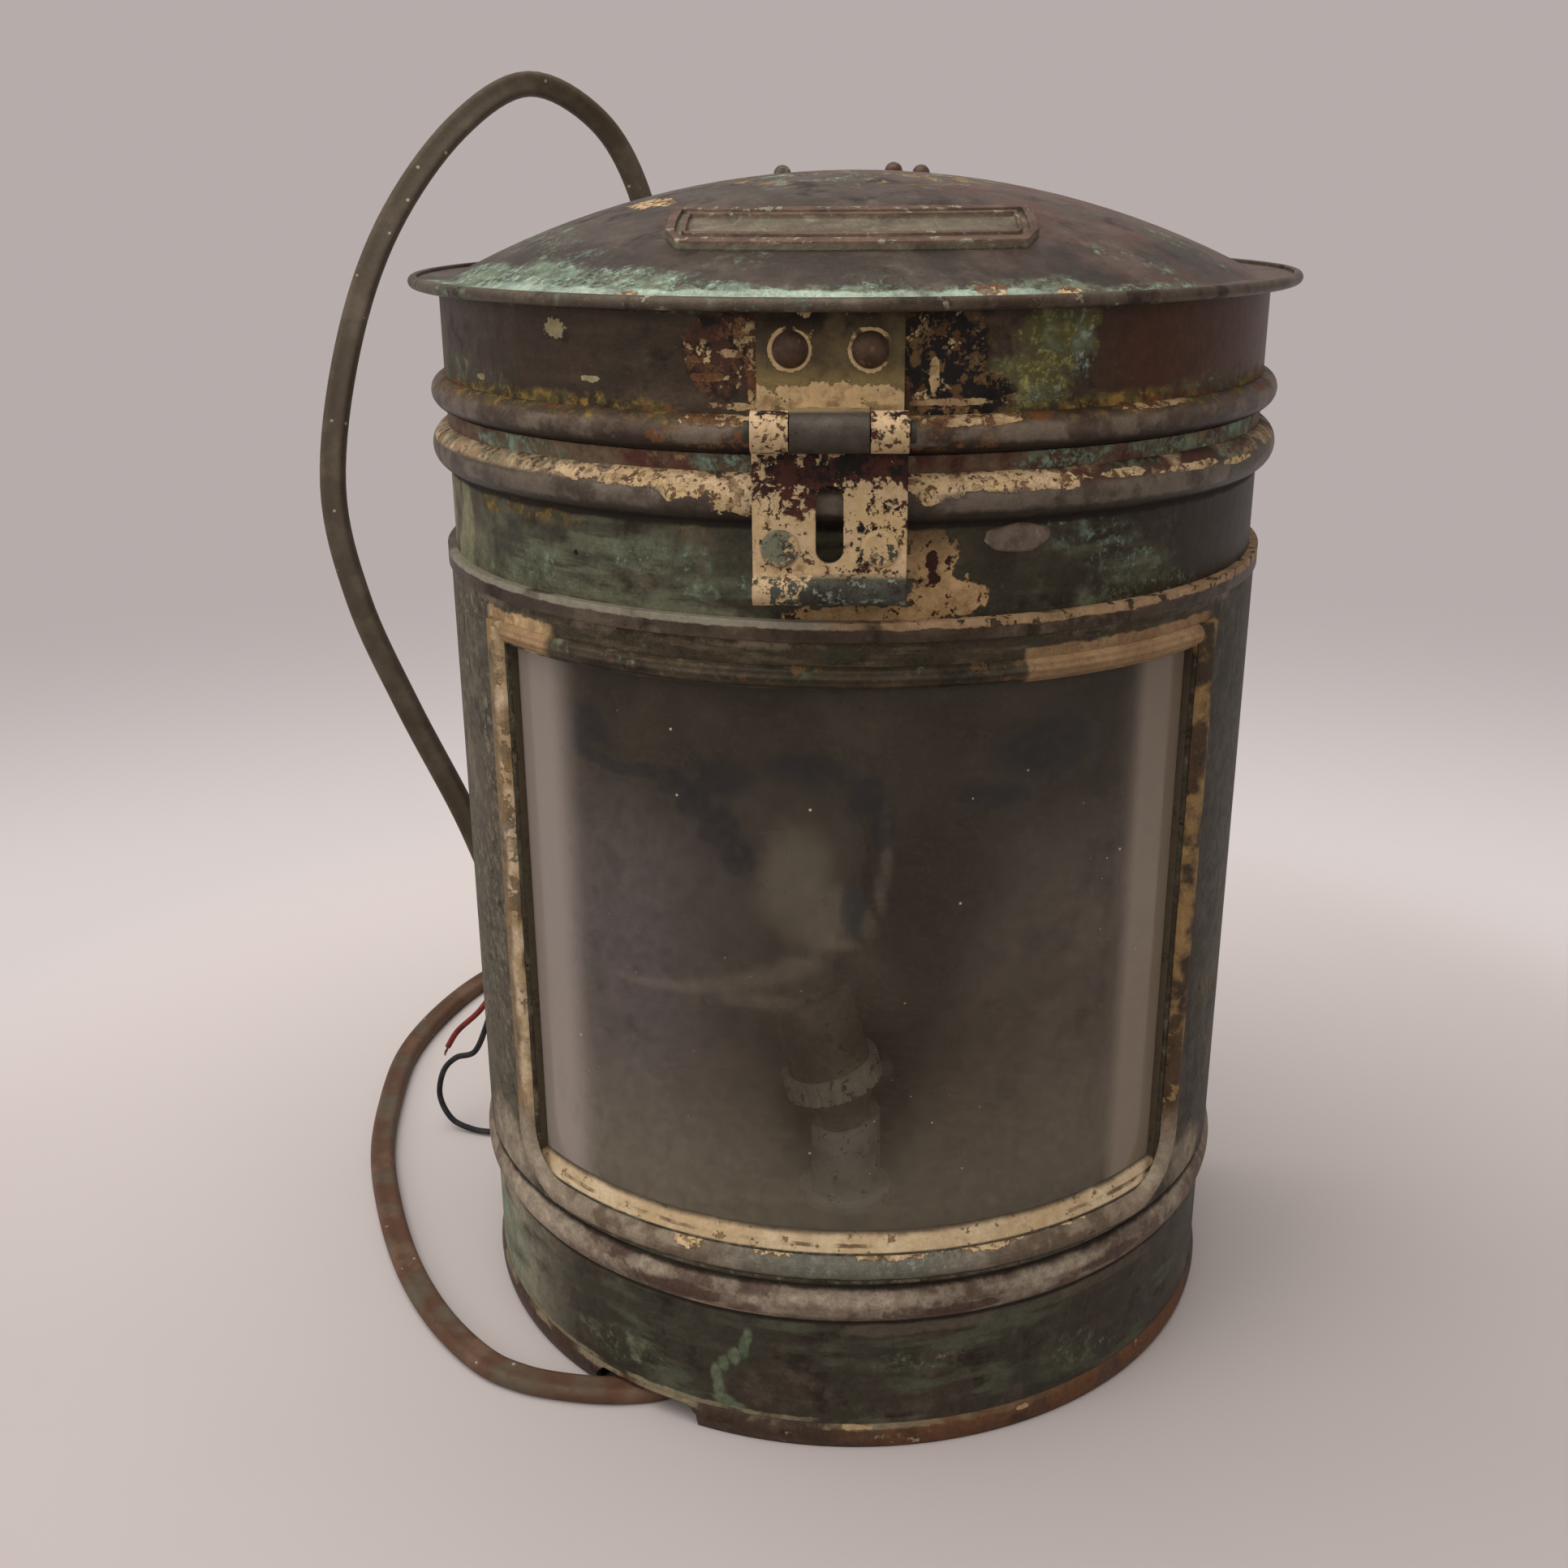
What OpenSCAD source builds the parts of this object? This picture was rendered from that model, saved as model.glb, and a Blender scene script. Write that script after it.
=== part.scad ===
// Ship stern lantern in sheet copper: a D-shaped body with a curved window, a hinged domed lid
// closed by a hasp, a bayonet lamp inside and a flat twin cable.
// Millimetres, +Z up. The origin lies on the axis of the round front, on the plane that the base
// stands on. The window faces -Y and the flat back faces +Y. An azimuth is measured from -Y
// towards +X.

/* [Plan] */
// Outer radius of the round front at the window section
body_r = 130; // [124:1:136]
// Distance from the axis to the flat back at the window section
back_y = 45; // [40:1:50]
// Thickness of the sheet copper
sheet = 1.2; // [1:0.1:1.5]
// Set-back of the upper band and the lid band from the window section
upper_inset = 2; // [1.8:0.1:2.6]

/* [Base] */
// Height of the base band up to the large roll
base_h = 47; // [44:1:52]
// Height of the rolled rim at the foot
rim_h = 9; // [7:0.5:11]
// How far the rolled rim stands out
rim_out = 1.1; // [0.8:0.1:1.6]
// Width of the foot flange turned inwards
foot_w = 8; // [6:0.5:10]
// Height of the large roll above the base band
roll_h = 13; // [11:0.5:14]
// How far the large roll stands out from the base band
roll_out = 2.8; // [2.4:0.1:3.6]
// Gap between the large roll and the window section
roll_gap = 1.5; // [1:0.1:2]
// Height of the top of the pan above the floor
pan_z = 37; // [34:1:40]

/* [Window] */
// Height of the window section
shell_h = 198.5; // [190:0.5:206]
// Height of the opening's lower edge above the foot of the window section
win_low = 10.5; // [10:0.5:13]
// Distance from the opening's upper edge to the top of the window section
win_head = 13; // [12:0.5:16]
// Half the angle that the window opening takes, in degrees
win_half = 50; // [46:1:54]
// Width of the bead at the sides and the foot of the window
frame_w = 8.6; // [7.6:0.2:9.4]
// How far that bead stands out
frame_out = 3; // [2.4:0.1:3.4]
// Bend radius of the bead at the lower corners
frame_corner = 19; // [16:0.5:21]
// Height of the bead at the head of the window
head_bead_h = 6; // [5:0.5:7]
// How far the head bead stands out
head_bead_out = 2.2; // [1.6:0.1:2.8]
// Thickness of the curved glass
glass_t = 4; // [3:0.5:5]
// Set-back of the glass behind the outer face of the window section
glass_set = 3.5; // [3:0.1:4.5]
// How far the glass reaches behind the edge of the opening
glass_lap = 5; // [4:0.5:6]
// Thickness of the channels that hold the glass
channel_t = 1.5; // [1.2:0.1:2]
// Height of the putty fillet at the foot of the glass
putty_h = 6; // [4:0.5:8]

/* [Upper body] */
// Height from the window section to the upper edge of the body
upper_h = 48; // [46:1:52]
// How far the upper band reaches down inside the window section
upper_lap = 5; // [3:0.5:6]
// Height of the seam ring
seam_h = 5.5; // [4:0.5:7]
// How far the seam ring stands out from the window section
seam_out = 0.8; // [0.5:0.1:1.4]
// Height of the rolled bead on the body
body_bead_h = 13; // [11:0.5:14]
// How far the body bead stands out
body_bead_out = 5; // [4:0.1:5.4]
// Distance from the body's upper edge down to the middle of its bead
body_bead_drop = 11; // [9:0.5:12]
// How far the inner collar reaches up into the lid
collar_up = 12; // [9:0.5:14]
// Height of the soldered seat of that collar
collar_seat_h = 12; // [9:0.5:16]
// Clearance between the collar and the lid band
collar_gap = 0.6; // [0.6:0.05:0.9]

/* [Lid] */
// Height of the lid band
lid_h = 36.5; // [35:0.5:42]
// Height of the rolled bead on the lid
lid_bead_h = 9.6; // [8:0.2:10.4]
// How far the lid bead stands out
lid_bead_out = 4.4; // [3.6:0.1:4.8]
// How far the brim reaches out past the lid band
brim_out = 9; // [7:0.5:11]
// Diameter of the wire rolled into the brim's edge
brim_wire_d = 3.5; // [2.8:0.1:4]
// Set-back of the foot of the dome from the lid band
dome_in = 4; // [3:0.5:6]
// Rise of the dome above the brim
dome_h = 30; // [26:1:34]
// Clearance under the closed lid
lid_gap = 0.3; // [0.2:0.05:0.5]

/* [Name plate] */
// Distance from the axis to the upper edge of the plate
plate_r0 = 78; // [74:1:82]
// Distance from the axis to the lower edge of the plate
plate_r1 = 101.5; // [98:0.5:105]
// Half the width of the plate
plate_half = 50; // [44:1:54]
// Cut at each corner of the plate
plate_cut = 9; // [6:0.5:12]
// Thickness of the plate's field
plate_t = 1; // [0.8:0.1:1.4]
// Height of the border above the field
border_t = 1.2; // [0.8:0.1:1.6]
// Width of the outer border
border_w = 2.6; // [2:0.1:3.4]
// Gap between the outer border and the fine inner one
border_gap = 2; // [1.4:0.1:2.6]
// Width of the fine inner border
line_w = 1.2; // [0.9:0.1:1.8]

/* [Hasp] */
// Sideways place of the hasp's middle
hasp_x = -5; // [-9:0.5:4]
// Height of the hasp's pin above the foot of the lid
hasp_pin_up = 7.2; // [6.8:0.1:7.6]
// Width of the hasp's swinging leaf
leaf_w = 39; // [36:0.5:44]
// Length of the leaf from its pin to its lip
leaf_l = 44; // [40:0.5:48]
// Thickness of the leaf
leaf_t = 1.6; // [1.3:0.1:2]
// Radius of the finger lip
lip_r = 4; // [3:0.2:4.6]
// Width of the slot
slot_w = 7; // [6:0.2:9]
// Length of the slot
slot_l = 20; // [17:0.5:22]
// Distance from the pin to the top of the slot
slot_drop = 13.5; // [11:0.5:15]
// Radius of the knuckles
hasp_knuckle_r = 5.2; // [4.8:0.1:5.6]
// Radius of the hasp pin
hasp_pin_r = 2; // [1.6:0.1:2.4]
// Width of the middle knuckle
hasp_knuckle_w = 19.6; // [16:0.2:22]
// Width of the plate on the lid
hasp_plate_w = 36.6; // [32:0.2:42]
// Thickness of the plate on the lid
hasp_plate_t = 1.6; // [1.3:0.1:2]
// Radius of the flat discs on the leaf
disc_r = 4.8; // [4:0.1:5.2]
// Distance of each disc from the middle of the leaf
disc_x = 12.6; // [10.5:0.1:13.6]
// Height of the discs' middles above the foot of the slot
disc_up = 4; // [2:0.5:12]

/* [Lid hinge] */
// Width of the hinge
hinge_w = 60; // [50:1:66]
// Height of each hinge leaf
hinge_leaf_h = 22; // [18:0.5:24]
// Thickness of the hinge leaves
hinge_t = 1.6; // [1.3:0.1:2]
// Radius of the hinge knuckles
knuckle_r = 4.5; // [4:0.1:5]
// Radius of the hinge pin
hinge_pin_r = 2; // [1.6:0.1:2.4]

/* [Rear socket] */
// Width of the backing plate
socket_w = 76; // [70:1:90]
// Height of the backing plate
socket_h = 100; // [90:1:120]
// Height of the plate's lower edge above the floor
socket_z = 110; // [90:1:130]
// Thickness of the plate and the strap
socket_t = 2; // [1.6:0.1:3]
// Width of the slot for the ship's bracket
slide_w = 40; // [34:1:46]
// Depth of the slot for the ship's bracket
slide_d = 8; // [6:0.5:10]
// Height of the strap
strap_h = 60; // [50:1:70]

/* [Rivets] */
// Radius of a large rivet's head
rivet_r = 4.6; // [4:0.1:5]
// Height of a large rivet's head
rivet_head_h = 2.4; // [1.8:0.1:3]
// Radius of a rivet's shank
shank_r = 2; // [1.5:0.1:2.4]
// Distance between the two rivets of the hasp plate
hasp_rivet_pitch = 19.6; // [17:0.2:22]
// Distance of those rivets below the brim
hasp_rivet_drop = 10.5; // [9:0.5:12]
// Distance of the hinge's outer rivets from its ends
hinge_rivet_edge = 8; // [6:0.5:10]
// Distance of the rear socket's rivets from the edges of its plate
socket_rivet_edge = 9; // [7:0.5:12]
// Radius of a small rivet's head
small_rivet_r = 3.4; // [3:0.1:4]
// Radius of the round heads on top of the dome
dome_rivet_r = 2.8; // [2.4:0.1:3.4]
// Half the distance between the outer two of those heads
dome_rivet_x = 22; // [18:0.5:26]
// Distance of those heads behind the axis
dome_rivet_y = 14; // [12:0.5:18]

/* [Lamp] */
// Distance of the lamp in front of the axis
lamp_front = 42; // [36:1:48]
// Lean of the lamp holder to the left, in degrees
lamp_lean = 15; // [8:1:18]
// Radius of the pillar
pillar_r = 12; // [10.5:0.5:13.5]
// Height of the pillar
pillar_h = 29; // [26:0.5:32]
// Length of the lamp holder's cap
holder_cap_h = 14; // [12:0.5:16]
// Outer radius of the lamp holder's barrel
holder_r = 14.2; // [13.8:0.1:15]
// Length of the lamp holder's barrel
holder_h = 38; // [35:0.5:42]
// Outer radius of the shade ring
shade_ring_r = 17; // [16:0.5:20]
// Height of the shade ring
shade_ring_h = 8; // [6:0.5:10]
// Length of the insulator inside the lamp holder
insert_h = 10; // [8:0.5:12]
// How far the contact plungers stand out of the insulator
plunger_h = 4; // [3:0.5:5]
// Height of the bayonet pins above the foot of the bulb's cap
bayonet_pin_up = 8; // [7:0.5:9]
// Radius of the bayonet pins
bayonet_pin_r = 1; // [0.8:0.1:1.2]
// Radius of the bulb's bayonet cap
cap_r = 11; // [10.8:0.1:11.2]
// Length of the bulb's cap
cap_h = 26; // [24:0.5:28]
// Radius of the bulb
bulb_r = 33; // [30:0.5:34]
// Overall length of the bulb with its cap
bulb_l = 108; // [104:0.5:112]
// Thickness of the bulb's glass
bulb_t = 0.8; // [0.6:0.1:1.2]

/* [Cable] */
// Width of the flat twin cable
cable_w = 9.6; // [8:0.2:10.4]
// Thickness of the flat twin cable
cable_t = 5.5; // [4.5:0.1:5.8]
// Diameter of each core
core_d = 2.4; // [2:0.1:3]
// Width of the cable notch in the base
notch_w = 40; // [36:1:46]
// Height of the cable notch
notch_h = 7.5; // [7:0.1:8.5]
// Azimuth of the cable notch, in degrees
notch_az = -30; // [-31:0.5:-29]

/* [Hidden] */
$fn = 72;
dome_fn = 360;
bead_fn = 180;

// Clearances: a pin in its bore, faces side by side, the glass in its channels, knuckles beside
// a leaf, the hasp in front of the beads, and soldered pieces
pin_fit = 0.05;
side_gap = 0.3;
glass_play = 0.4;
knuckle_gap = 0.45;
hasp_gap = 0.5;
leaf_gap = 0.8;
solder_gap = 0.1;
frame_gap = 0.5;
// The reach of a cut past a face, and the length of a rivet's bore
cut = 1;
bore_l = 12;
// A length that is longer than the whole lantern, for half spaces
far = 600;

// Radii of the bands; the base band is pushed up inside the window section
base_inset = sheet + solder_gap;
base_r = body_r - base_inset;
upper_r = body_r - upper_inset;
glass_r = body_r - glass_set;

// Heights of the stacked sections
shell_z = base_h + roll_h + roll_gap;
shell_top = shell_z + shell_h;
body_top = shell_top + upper_h;
lid_z = body_top + lid_gap;
brim_z = lid_z + lid_h;
brim_top = brim_z + sheet;
win_z0 = shell_z + win_low;
win_z1 = shell_top - win_head;
win_h = win_z1 - win_z0;

// The glass and the channels round it
glass_z0 = win_z0 - glass_lap;
glass_z1 = win_z1 + glass_lap;
glass_half = win_half + to_degrees(glass_lap / glass_r);
channel_half = glass_half + to_degrees(glass_play / glass_r);
channel_r = glass_r - glass_t - glass_play - channel_t;
channel_lip = 6;
channel_web = to_degrees(channel_t / body_r);
lip_arc = to_degrees(channel_lip / body_r);

// The window bead's middle line as [azimuth, height]: down one side, round both lower corners and
// up the other
frame_az = win_half + to_degrees((frame_w / 2 + frame_gap) / body_r);
frame_z0 = win_z0 - frame_w / 2 - frame_gap;
frame_z1 = win_z1 + head_bead_h + frame_gap;
corner_steps = 9;
foot_steps = 24;
frame_foot_az = frame_az - to_degrees(frame_corner / body_r);
frame_line = concat(
    [[-frame_az, frame_z1]],
    frame_corner_line(-1, [for (k = [0 : corner_steps]) 90 * k / corner_steps]),
    [for (k = [1 : foot_steps - 1]) [frame_foot_az * (2 * k / foot_steps - 1), frame_z0]],
    frame_corner_line(1, [for (k = [corner_steps : -1 : 0]) 90 * k / corner_steps]),
    [[frame_az, frame_z1]]
);

// The rolled beads
body_bead_z = body_top - body_bead_drop;
body_bead_r = upper_r + body_bead_out;
lid_bead_z = lid_z + lid_bead_h / 2 + solder_gap;
lid_bead_r = upper_r + lid_bead_out;

// The dome is a spherical cap on the brim
dome_r = upper_r - dome_in;
dome_sphere = (dome_r * dome_r + dome_h * dome_h) / (2 * dome_h);
dome_centre = brim_top + dome_h - dome_sphere;
dome_back_y = back_of(dome_r);
// The brim's sheet runs a quarter of the way into its wire
flange_r = upper_r + brim_out - 0.75 * brim_wire_d;

// The hinge at the back
hinge_back = back_of(upper_r);
hinge_y = hinge_back + knuckle_r + side_gap;
hinge_z = body_top + lid_gap / 2;
knuckles = 5;
knuckle_w = (hinge_w - (knuckles - 1) * side_gap) / knuckles;
knuckle_room = knuckle_r + knuckle_gap;
hinge_rivet_x = hinge_w / 2 - hinge_rivet_edge;
hinge_rivet_z = knuckle_room + hinge_leaf_h / 2;

// The hasp on the front
hasp_y = -(lid_bead_r + hasp_gap + hasp_knuckle_r);
hasp_z = lid_z + hasp_pin_up;
hasp_az = to_degrees(hasp_x / upper_r);
leaf_y = -(body_bead_r + leaf_gap);
hasp_plate_z0 = lid_bead_z + lid_bead_h / 2 + hasp_gap;
hasp_rivet_z = brim_z - hasp_rivet_drop;
hasp_rivet_half = to_degrees(hasp_rivet_pitch / 2 / upper_r);

// The lamp leans about the middle of the pillar's top
lamp_z = pan_z + pillar_h;
holder_bore = cap_r + glass_play;
cap_s = holder_cap_h + insert_h + plunger_h;
pin_s = cap_s + bayonet_pin_up;
bayonet_turn = 22;
bulb_s = cap_s + bulb_l - bulb_r;
neck_in = 1;
neck_r = cap_r - neck_in;
// The bulb's neck starts inside its cap, and the stem rises from there to below the filament
neck_lap = 8;
neck_s = cap_s + cap_h - neck_lap;
filament_up = 20;
stem_top = bulb_s - bulb_r / 2;

// The block under the pan that the cable ends in
block_size = [26, 22, 12];
block_at = [25, -47];

// The cable's route: first inside the base, out through the notch, over the floor to the rear,
// up behind the lantern and over in an arch, and down at the left to its cut end
cable_route = [
    [25, -36, 29], [14, -36, 29], [-4, -48, 25], [-22, -72, 16], [-39, -92, 7], [-56, -104, 3],
    [-72, -108, 3], [-90, -107, 3], [-106, -103, 3], [-121, -94, 3], [-140, -73, 3],
    [-158, -44, 3], [-174, -8, 3], [-187, 31, 3], [-194, 70, 3], [-197, 112, 3], [-191, 151, 3],
    [-178, 187, 3], [-158, 215, 4], [-130, 232, 12], [-104, 238, 34], [-86, 236, 68],
    [-77, 230, 110], [-73, 224, 160], [-73, 217, 215], [-76, 210, 270], [-82, 205, 325],
    [-90, 200, 368], [-105, 191, 396], [-129, 169, 409], [-152, 136, 392], [-174, 107, 357],
    [-187, 85, 315], [-193, 70, 266], [-185, 62, 225], [-169, 59, 184], [-150, 60, 139],
    [-139, 60, 106], [-138, 60, 95], [-138, 60, 84]
];
// Which way the cable's flat side faces at those points: up on the floor, forwards in the arch
flat_up = [0, 0, 1];
flat_front = [0, -1, 0];
flat_turn = [0, -1, 0.4];
first_turn = 20;
cable_faces = [
    for (i = [0 : len(cable_route) - 1])
        i < first_turn ? flat_up : (i < first_turn + 2 ? flat_turn : flat_front)
];
core_red_route = [[-136, 60, 84], [-136, 60, 77], [-142, 60, 65], [-150, 60, 53], [-160, 61, 43],
                  [-165, 62, 35]];
core_black_route = [[-140, 60, 84], [-140, 60, 77], [-142, 57, 64], [-147, 57, 48], [-153, 58, 35],
                    [-161, 58, 32], [-167, 59, 25], [-169, 58, 14], [-164, 55, 5], [-155, 52, 2],
                    [-147, 50, 2]];

copper_brown = [0.33, 0.27, 0.20];
copper_green = [0.33, 0.38, 0.31];
copper_red = [0.42, 0.27, 0.18];
paint_cream = [0.76, 0.66, 0.49];
old_brass = [0.55, 0.45, 0.25];
dull_iron = [0.30, 0.29, 0.27];
clear_glass = [0.62, 0.66, 0.66, 0.45];
white_glaze = [0.86, 0.85, 0.80];
cable_khaki = [0.42, 0.37, 0.28];
core_crimson = [0.55, 0.12, 0.10];
core_dark = [0.10, 0.10, 0.11];

function to_degrees(radians) = radians * 180 / PI;

// Distance from the axis to the flat back of a band whose round front has radius r
function back_of(r) = back_y - (body_r - r);

// Tube radius of a round bead that is h high where it leaves its wall and stands out by o
function tube_of(h, o) = (h * h / 4 + o * o) / (2 * o);

// Plan of a band: a circle cut off by the flat back
module d_outline(r) {
    intersection() {
        circle(r = r, $fn = bead_fn);
        translate([-2 * r, -2 * r])
            square([4 * r, 2 * r + back_of(r)]);
    }
}

// Upright wall on that plan
module d_ring(r, wall, z, h) {
    translate([0, 0, z])
        linear_extrude(height = h)
            difference() {
                d_outline(r);
                d_outline(r - wall);
            }
}

// Part of a round wall between two azimuths
module arc_bar(r0, r1, z, h, a0, a1) {
    rotate([0, 0, a0 - 90])
        rotate_extrude(angle = a1 - a0)
            translate([r0, z])
                square([r1 - r0, h]);
}

// Puts its children on the round front, with their -Y outwards
module place(az, r, z) {
    rotate([0, 0, az])
        translate([0, -r, z])
            children();
}

// Bar along X
module rod_x(r, x0, x1) {
    translate([x0, 0, 0])
        rotate([0, 90, 0])
            cylinder(r = r, h = x1 - x0);
}

// Section of a round bead that is h high at its wall, X = 0, and stands out by o
module bead_section(h, o) {
    tube = tube_of(h, o);
    intersection() {
        translate([o - tube, 0])
            circle(r = tube, $fn = bead_fn);
        translate([0, -h])
            square([2 * o, 2 * h]);
    }
}

// Round bead round the front of a wall of radius r, from one rear corner to the other
module front_bead(r, h, o, z) {
    corner_az = 90 + asin(back_of(r) / r);
    rotate([0, 0, -90 - corner_az])
        rotate_extrude(angle = 2 * corner_az, $fn = bead_fn)
            translate([r, z])
                bead_section(h, o);
}

// Rivet with a domed head above Z = 0 and a shank below
module rivet(head_r, head_h, grip) {
    ball = (head_r * head_r + head_h * head_h) / (2 * head_h);
    rotate_extrude()
        intersection() {
            translate([0, head_h - ball])
                circle(r = ball);
            square([head_r, head_h]);
        }
    translate([0, 0, -grip])
        cylinder(r = shank_r, h = grip);
}

// Holes for the two rivets of the hasp plate
module hasp_rivet_bores() {
    for (side = [-1, 1])
        place(hasp_az + side * hasp_rivet_half, upper_r, hasp_rivet_z)
            rotate([90, 0, 0])
                rivet_bore();
}

// Places of the hinge's rivets, above or below its axis
module hinge_rivet_places(up) {
    for (x = [-hinge_rivet_x, 0, hinge_rivet_x])
        translate([x, hinge_back + hinge_t, hinge_z + up * hinge_rivet_z])
            rotate([-90, 0, 0])
                children();
}

// Places of the rear socket's rivets
module socket_rivet_places() {
    for (x = [-1, 1])
        for (z = [socket_rivet_edge, socket_h - socket_rivet_edge])
            translate([x * (socket_w / 2 - socket_rivet_edge), back_y + socket_t, socket_z + z])
                rotate([-90, 0, 0])
                    children();
}

// Bore that a rivet's shank fills
module rivet_bore() {
    cylinder(r = shank_r, h = bore_l, center = true);
}

// Notch for the cable, cut through the foot of the base
module cable_notch() {
    corner = 3;
    reach = 2 * foot_w;
    place(notch_az, base_r, 0)
        translate([0, reach, 0])
            rotate([90, 0, 0])
                linear_extrude(height = 2 * reach)
                    polygon([[-notch_w / 2, -cut], [notch_w / 2, -cut], [notch_w / 2, notch_h - corner],
                             [notch_w / 2 - corner, notch_h], [corner - notch_w / 2, notch_h],
                             [-notch_w / 2, notch_h - corner]]);
}

module base_band() {
    color(copper_green)
        difference() {
            union() {
                d_ring(base_r, sheet, 0, shell_z + 2 * sheet);
                d_ring(base_r, sheet + foot_w, 0, sheet);
            }
            cable_notch();
        }
}

module base_rim() {
    color(copper_red)
        difference() {
            front_bead(base_r, rim_h, rim_out, rim_h / 2);
            cable_notch();
        }
}

module base_roll() {
    color(copper_brown)
        front_bead(base_r, roll_h, roll_out, base_h + roll_h / 2);
}

module base_pan() {
    color(copper_brown)
        translate([0, 0, pan_z - sheet])
            linear_extrude(height = sheet)
                d_outline(base_r - sheet);
}

module window_shell() {
    color(copper_green)
        difference() {
            union() {
                d_ring(body_r, sheet, shell_z, shell_h);
                d_ring(body_r, base_inset, shell_z, sheet);
            }
            arc_bar(body_r - 3 * sheet, body_r + sheet, win_z0, win_h, -win_half, win_half);
            socket_rivet_places()
                rivet_bore();
        }
}

// One lower corner of the window bead's middle line, at the given angles of its bend
function frame_corner_line(side, angles) = [
    for (a = angles)
        [side * (frame_foot_az + to_degrees(frame_corner * cos(a) / body_r)),
         frame_z0 + frame_corner - frame_corner * sin(a)]
];

// Point of the round front
function on_front(az, r, z) = [r * sin(az), -r * cos(az), z];

// Section of the window bead: a round back on a flat foot
function frame_section() =
    let (half = asin(frame_w / 2 / tube_of(frame_w, frame_out)), steps = 8)
    [for (k = [0 : steps])
        let (a = 90 - half + 2 * half * k / steps)
        tube_of(frame_w, frame_out) * [cos(a), sin(a)]
        + [0, frame_out - tube_of(frame_w, frame_out)]];

module window_frame() {
    seat_r = body_r + solder_gap;
    color(paint_cream)
        sweep([for (p = frame_line) on_front(p[0], seat_r, p[1])],
              [for (p = frame_line) on_front(p[0], 1, 0)], frame_section(), 1);
}

module head_bead() {
    half = frame_az - to_degrees((frame_w / 2 + side_gap) / body_r);
    color(copper_green)
        rotate([0, 0, -90 - half])
            rotate_extrude(angle = 2 * half)
                translate([body_r, win_z1 + head_bead_h / 2 + frame_gap])
                    bead_section(head_bead_h, head_bead_out);
}

// Bed of putty round the glass, with a fillet at the foot of the opening
module glass_putty() {
    back_r = body_r - sheet;
    fillet_half = win_half - to_degrees(side_gap / body_r);
    color(paint_cream) {
        rotate([0, 0, -90 - fillet_half])
            rotate_extrude(angle = 2 * fillet_half)
                polygon([[glass_r, glass_z0], [back_r, glass_z0], [back_r, win_z0],
                         [body_r - side_gap, win_z0], [glass_r, win_z0 + putty_h]]);
        arc_bar(glass_r, back_r, win_z1, glass_lap, -fillet_half, fillet_half);
        for (a = [-glass_half, fillet_half])
            arc_bar(glass_r, back_r, glass_z0, glass_z1 - glass_z0, a, a + glass_half - fillet_half);
    }
}

module window_glass() {
    color(clear_glass)
        arc_bar(glass_r - glass_t, glass_r, glass_z0, glass_z1 - glass_z0, -glass_half, glass_half);
}

// Upright channel behind one edge of the glass, with its web between a0 and a1 and its lip between
// lip_a0 and lip_a1
module glass_channel(a0, a1, lip_a0, lip_a1) {
    lip_z = glass_z0 + channel_lip + side_gap;
    arc_bar(channel_r, body_r - sheet, glass_z0, glass_z1 - glass_z0, a0, a1);
    arc_bar(channel_r, channel_r + channel_t, lip_z, glass_z0 + glass_z1 - 2 * lip_z, lip_a0, lip_a1);
}

module glass_channel_left() {
    color(copper_brown)
        glass_channel(-channel_half - channel_web, -channel_half, -channel_half - channel_web,
                      -channel_half + lip_arc);
}

module glass_channel_right() {
    color(copper_brown)
        glass_channel(channel_half, channel_half + channel_web,
                      channel_half - lip_arc, channel_half + channel_web);
}

// Rail under the glass at height z, with its lip upwards for up = 1, or over it for up = -1
module glass_rail(z, up) {
    lip_r = channel_r + channel_t;
    rotate([0, 0, -90 - channel_half])
        rotate_extrude(angle = 2 * channel_half)
            polygon([[channel_r, z - up * channel_t], [body_r - sheet, z - up * channel_t],
                     [body_r - sheet, z], [lip_r, z], [lip_r, z + up * channel_lip],
                     [channel_r, z + up * channel_lip]]);
}

module glass_sill() {
    color(copper_brown)
        glass_rail(glass_z0, 1);
}

module glass_head() {
    color(copper_brown)
        glass_rail(glass_z1, -1);
}

module seam_ring() {
    color(copper_brown)
        d_ring(body_r + seam_out, upper_inset + seam_out, shell_top, seam_h);
}

module upper_band() {
    color(copper_brown)
        difference() {
            d_ring(upper_r, sheet, shell_top - upper_lap, upper_h + upper_lap);
            hinge_rivet_places(-1)
                rivet_bore();
        }
}

module body_bead() {
    color(copper_green)
        front_bead(upper_r, body_bead_h, body_bead_out, body_bead_z);
}

// Collar soldered inside the upper band, which the lid closes over
module inner_collar() {
    seat_z = shell_top + sheet;
    inner_r = upper_r - sheet;
    color(copper_brown) {
        d_ring(inner_r, collar_gap + sheet, seat_z, collar_seat_h);
        d_ring(inner_r - collar_gap, sheet, seat_z, body_top + collar_up - seat_z);
    }
}

// Old repair on the upper band, a low oval pad
module solder_patch() {
    patch_az = 20;
    patch_w = 20;
    patch_h = 8;
    patch_t = 0.8;
    patch_z = body_bead_z - body_bead_h / 2 - patch_h / 2 - frame_gap;
    color(dull_iron)
        difference() {
            intersection() {
                cylinder(r = upper_r + patch_t, h = far);
                place(patch_az, upper_r, patch_z)
                    rotate([90, 0, 0])
                        linear_extrude(height = patch_h, center = true) {
                            square([patch_w - patch_h, patch_h], center = true);
                            for (side = [-1, 1])
                                translate([side * (patch_w - patch_h) / 2, 0])
                                    circle(r = patch_h / 2);
                        }
            }
            cylinder(r = upper_r, h = far);
        }
}

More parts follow.
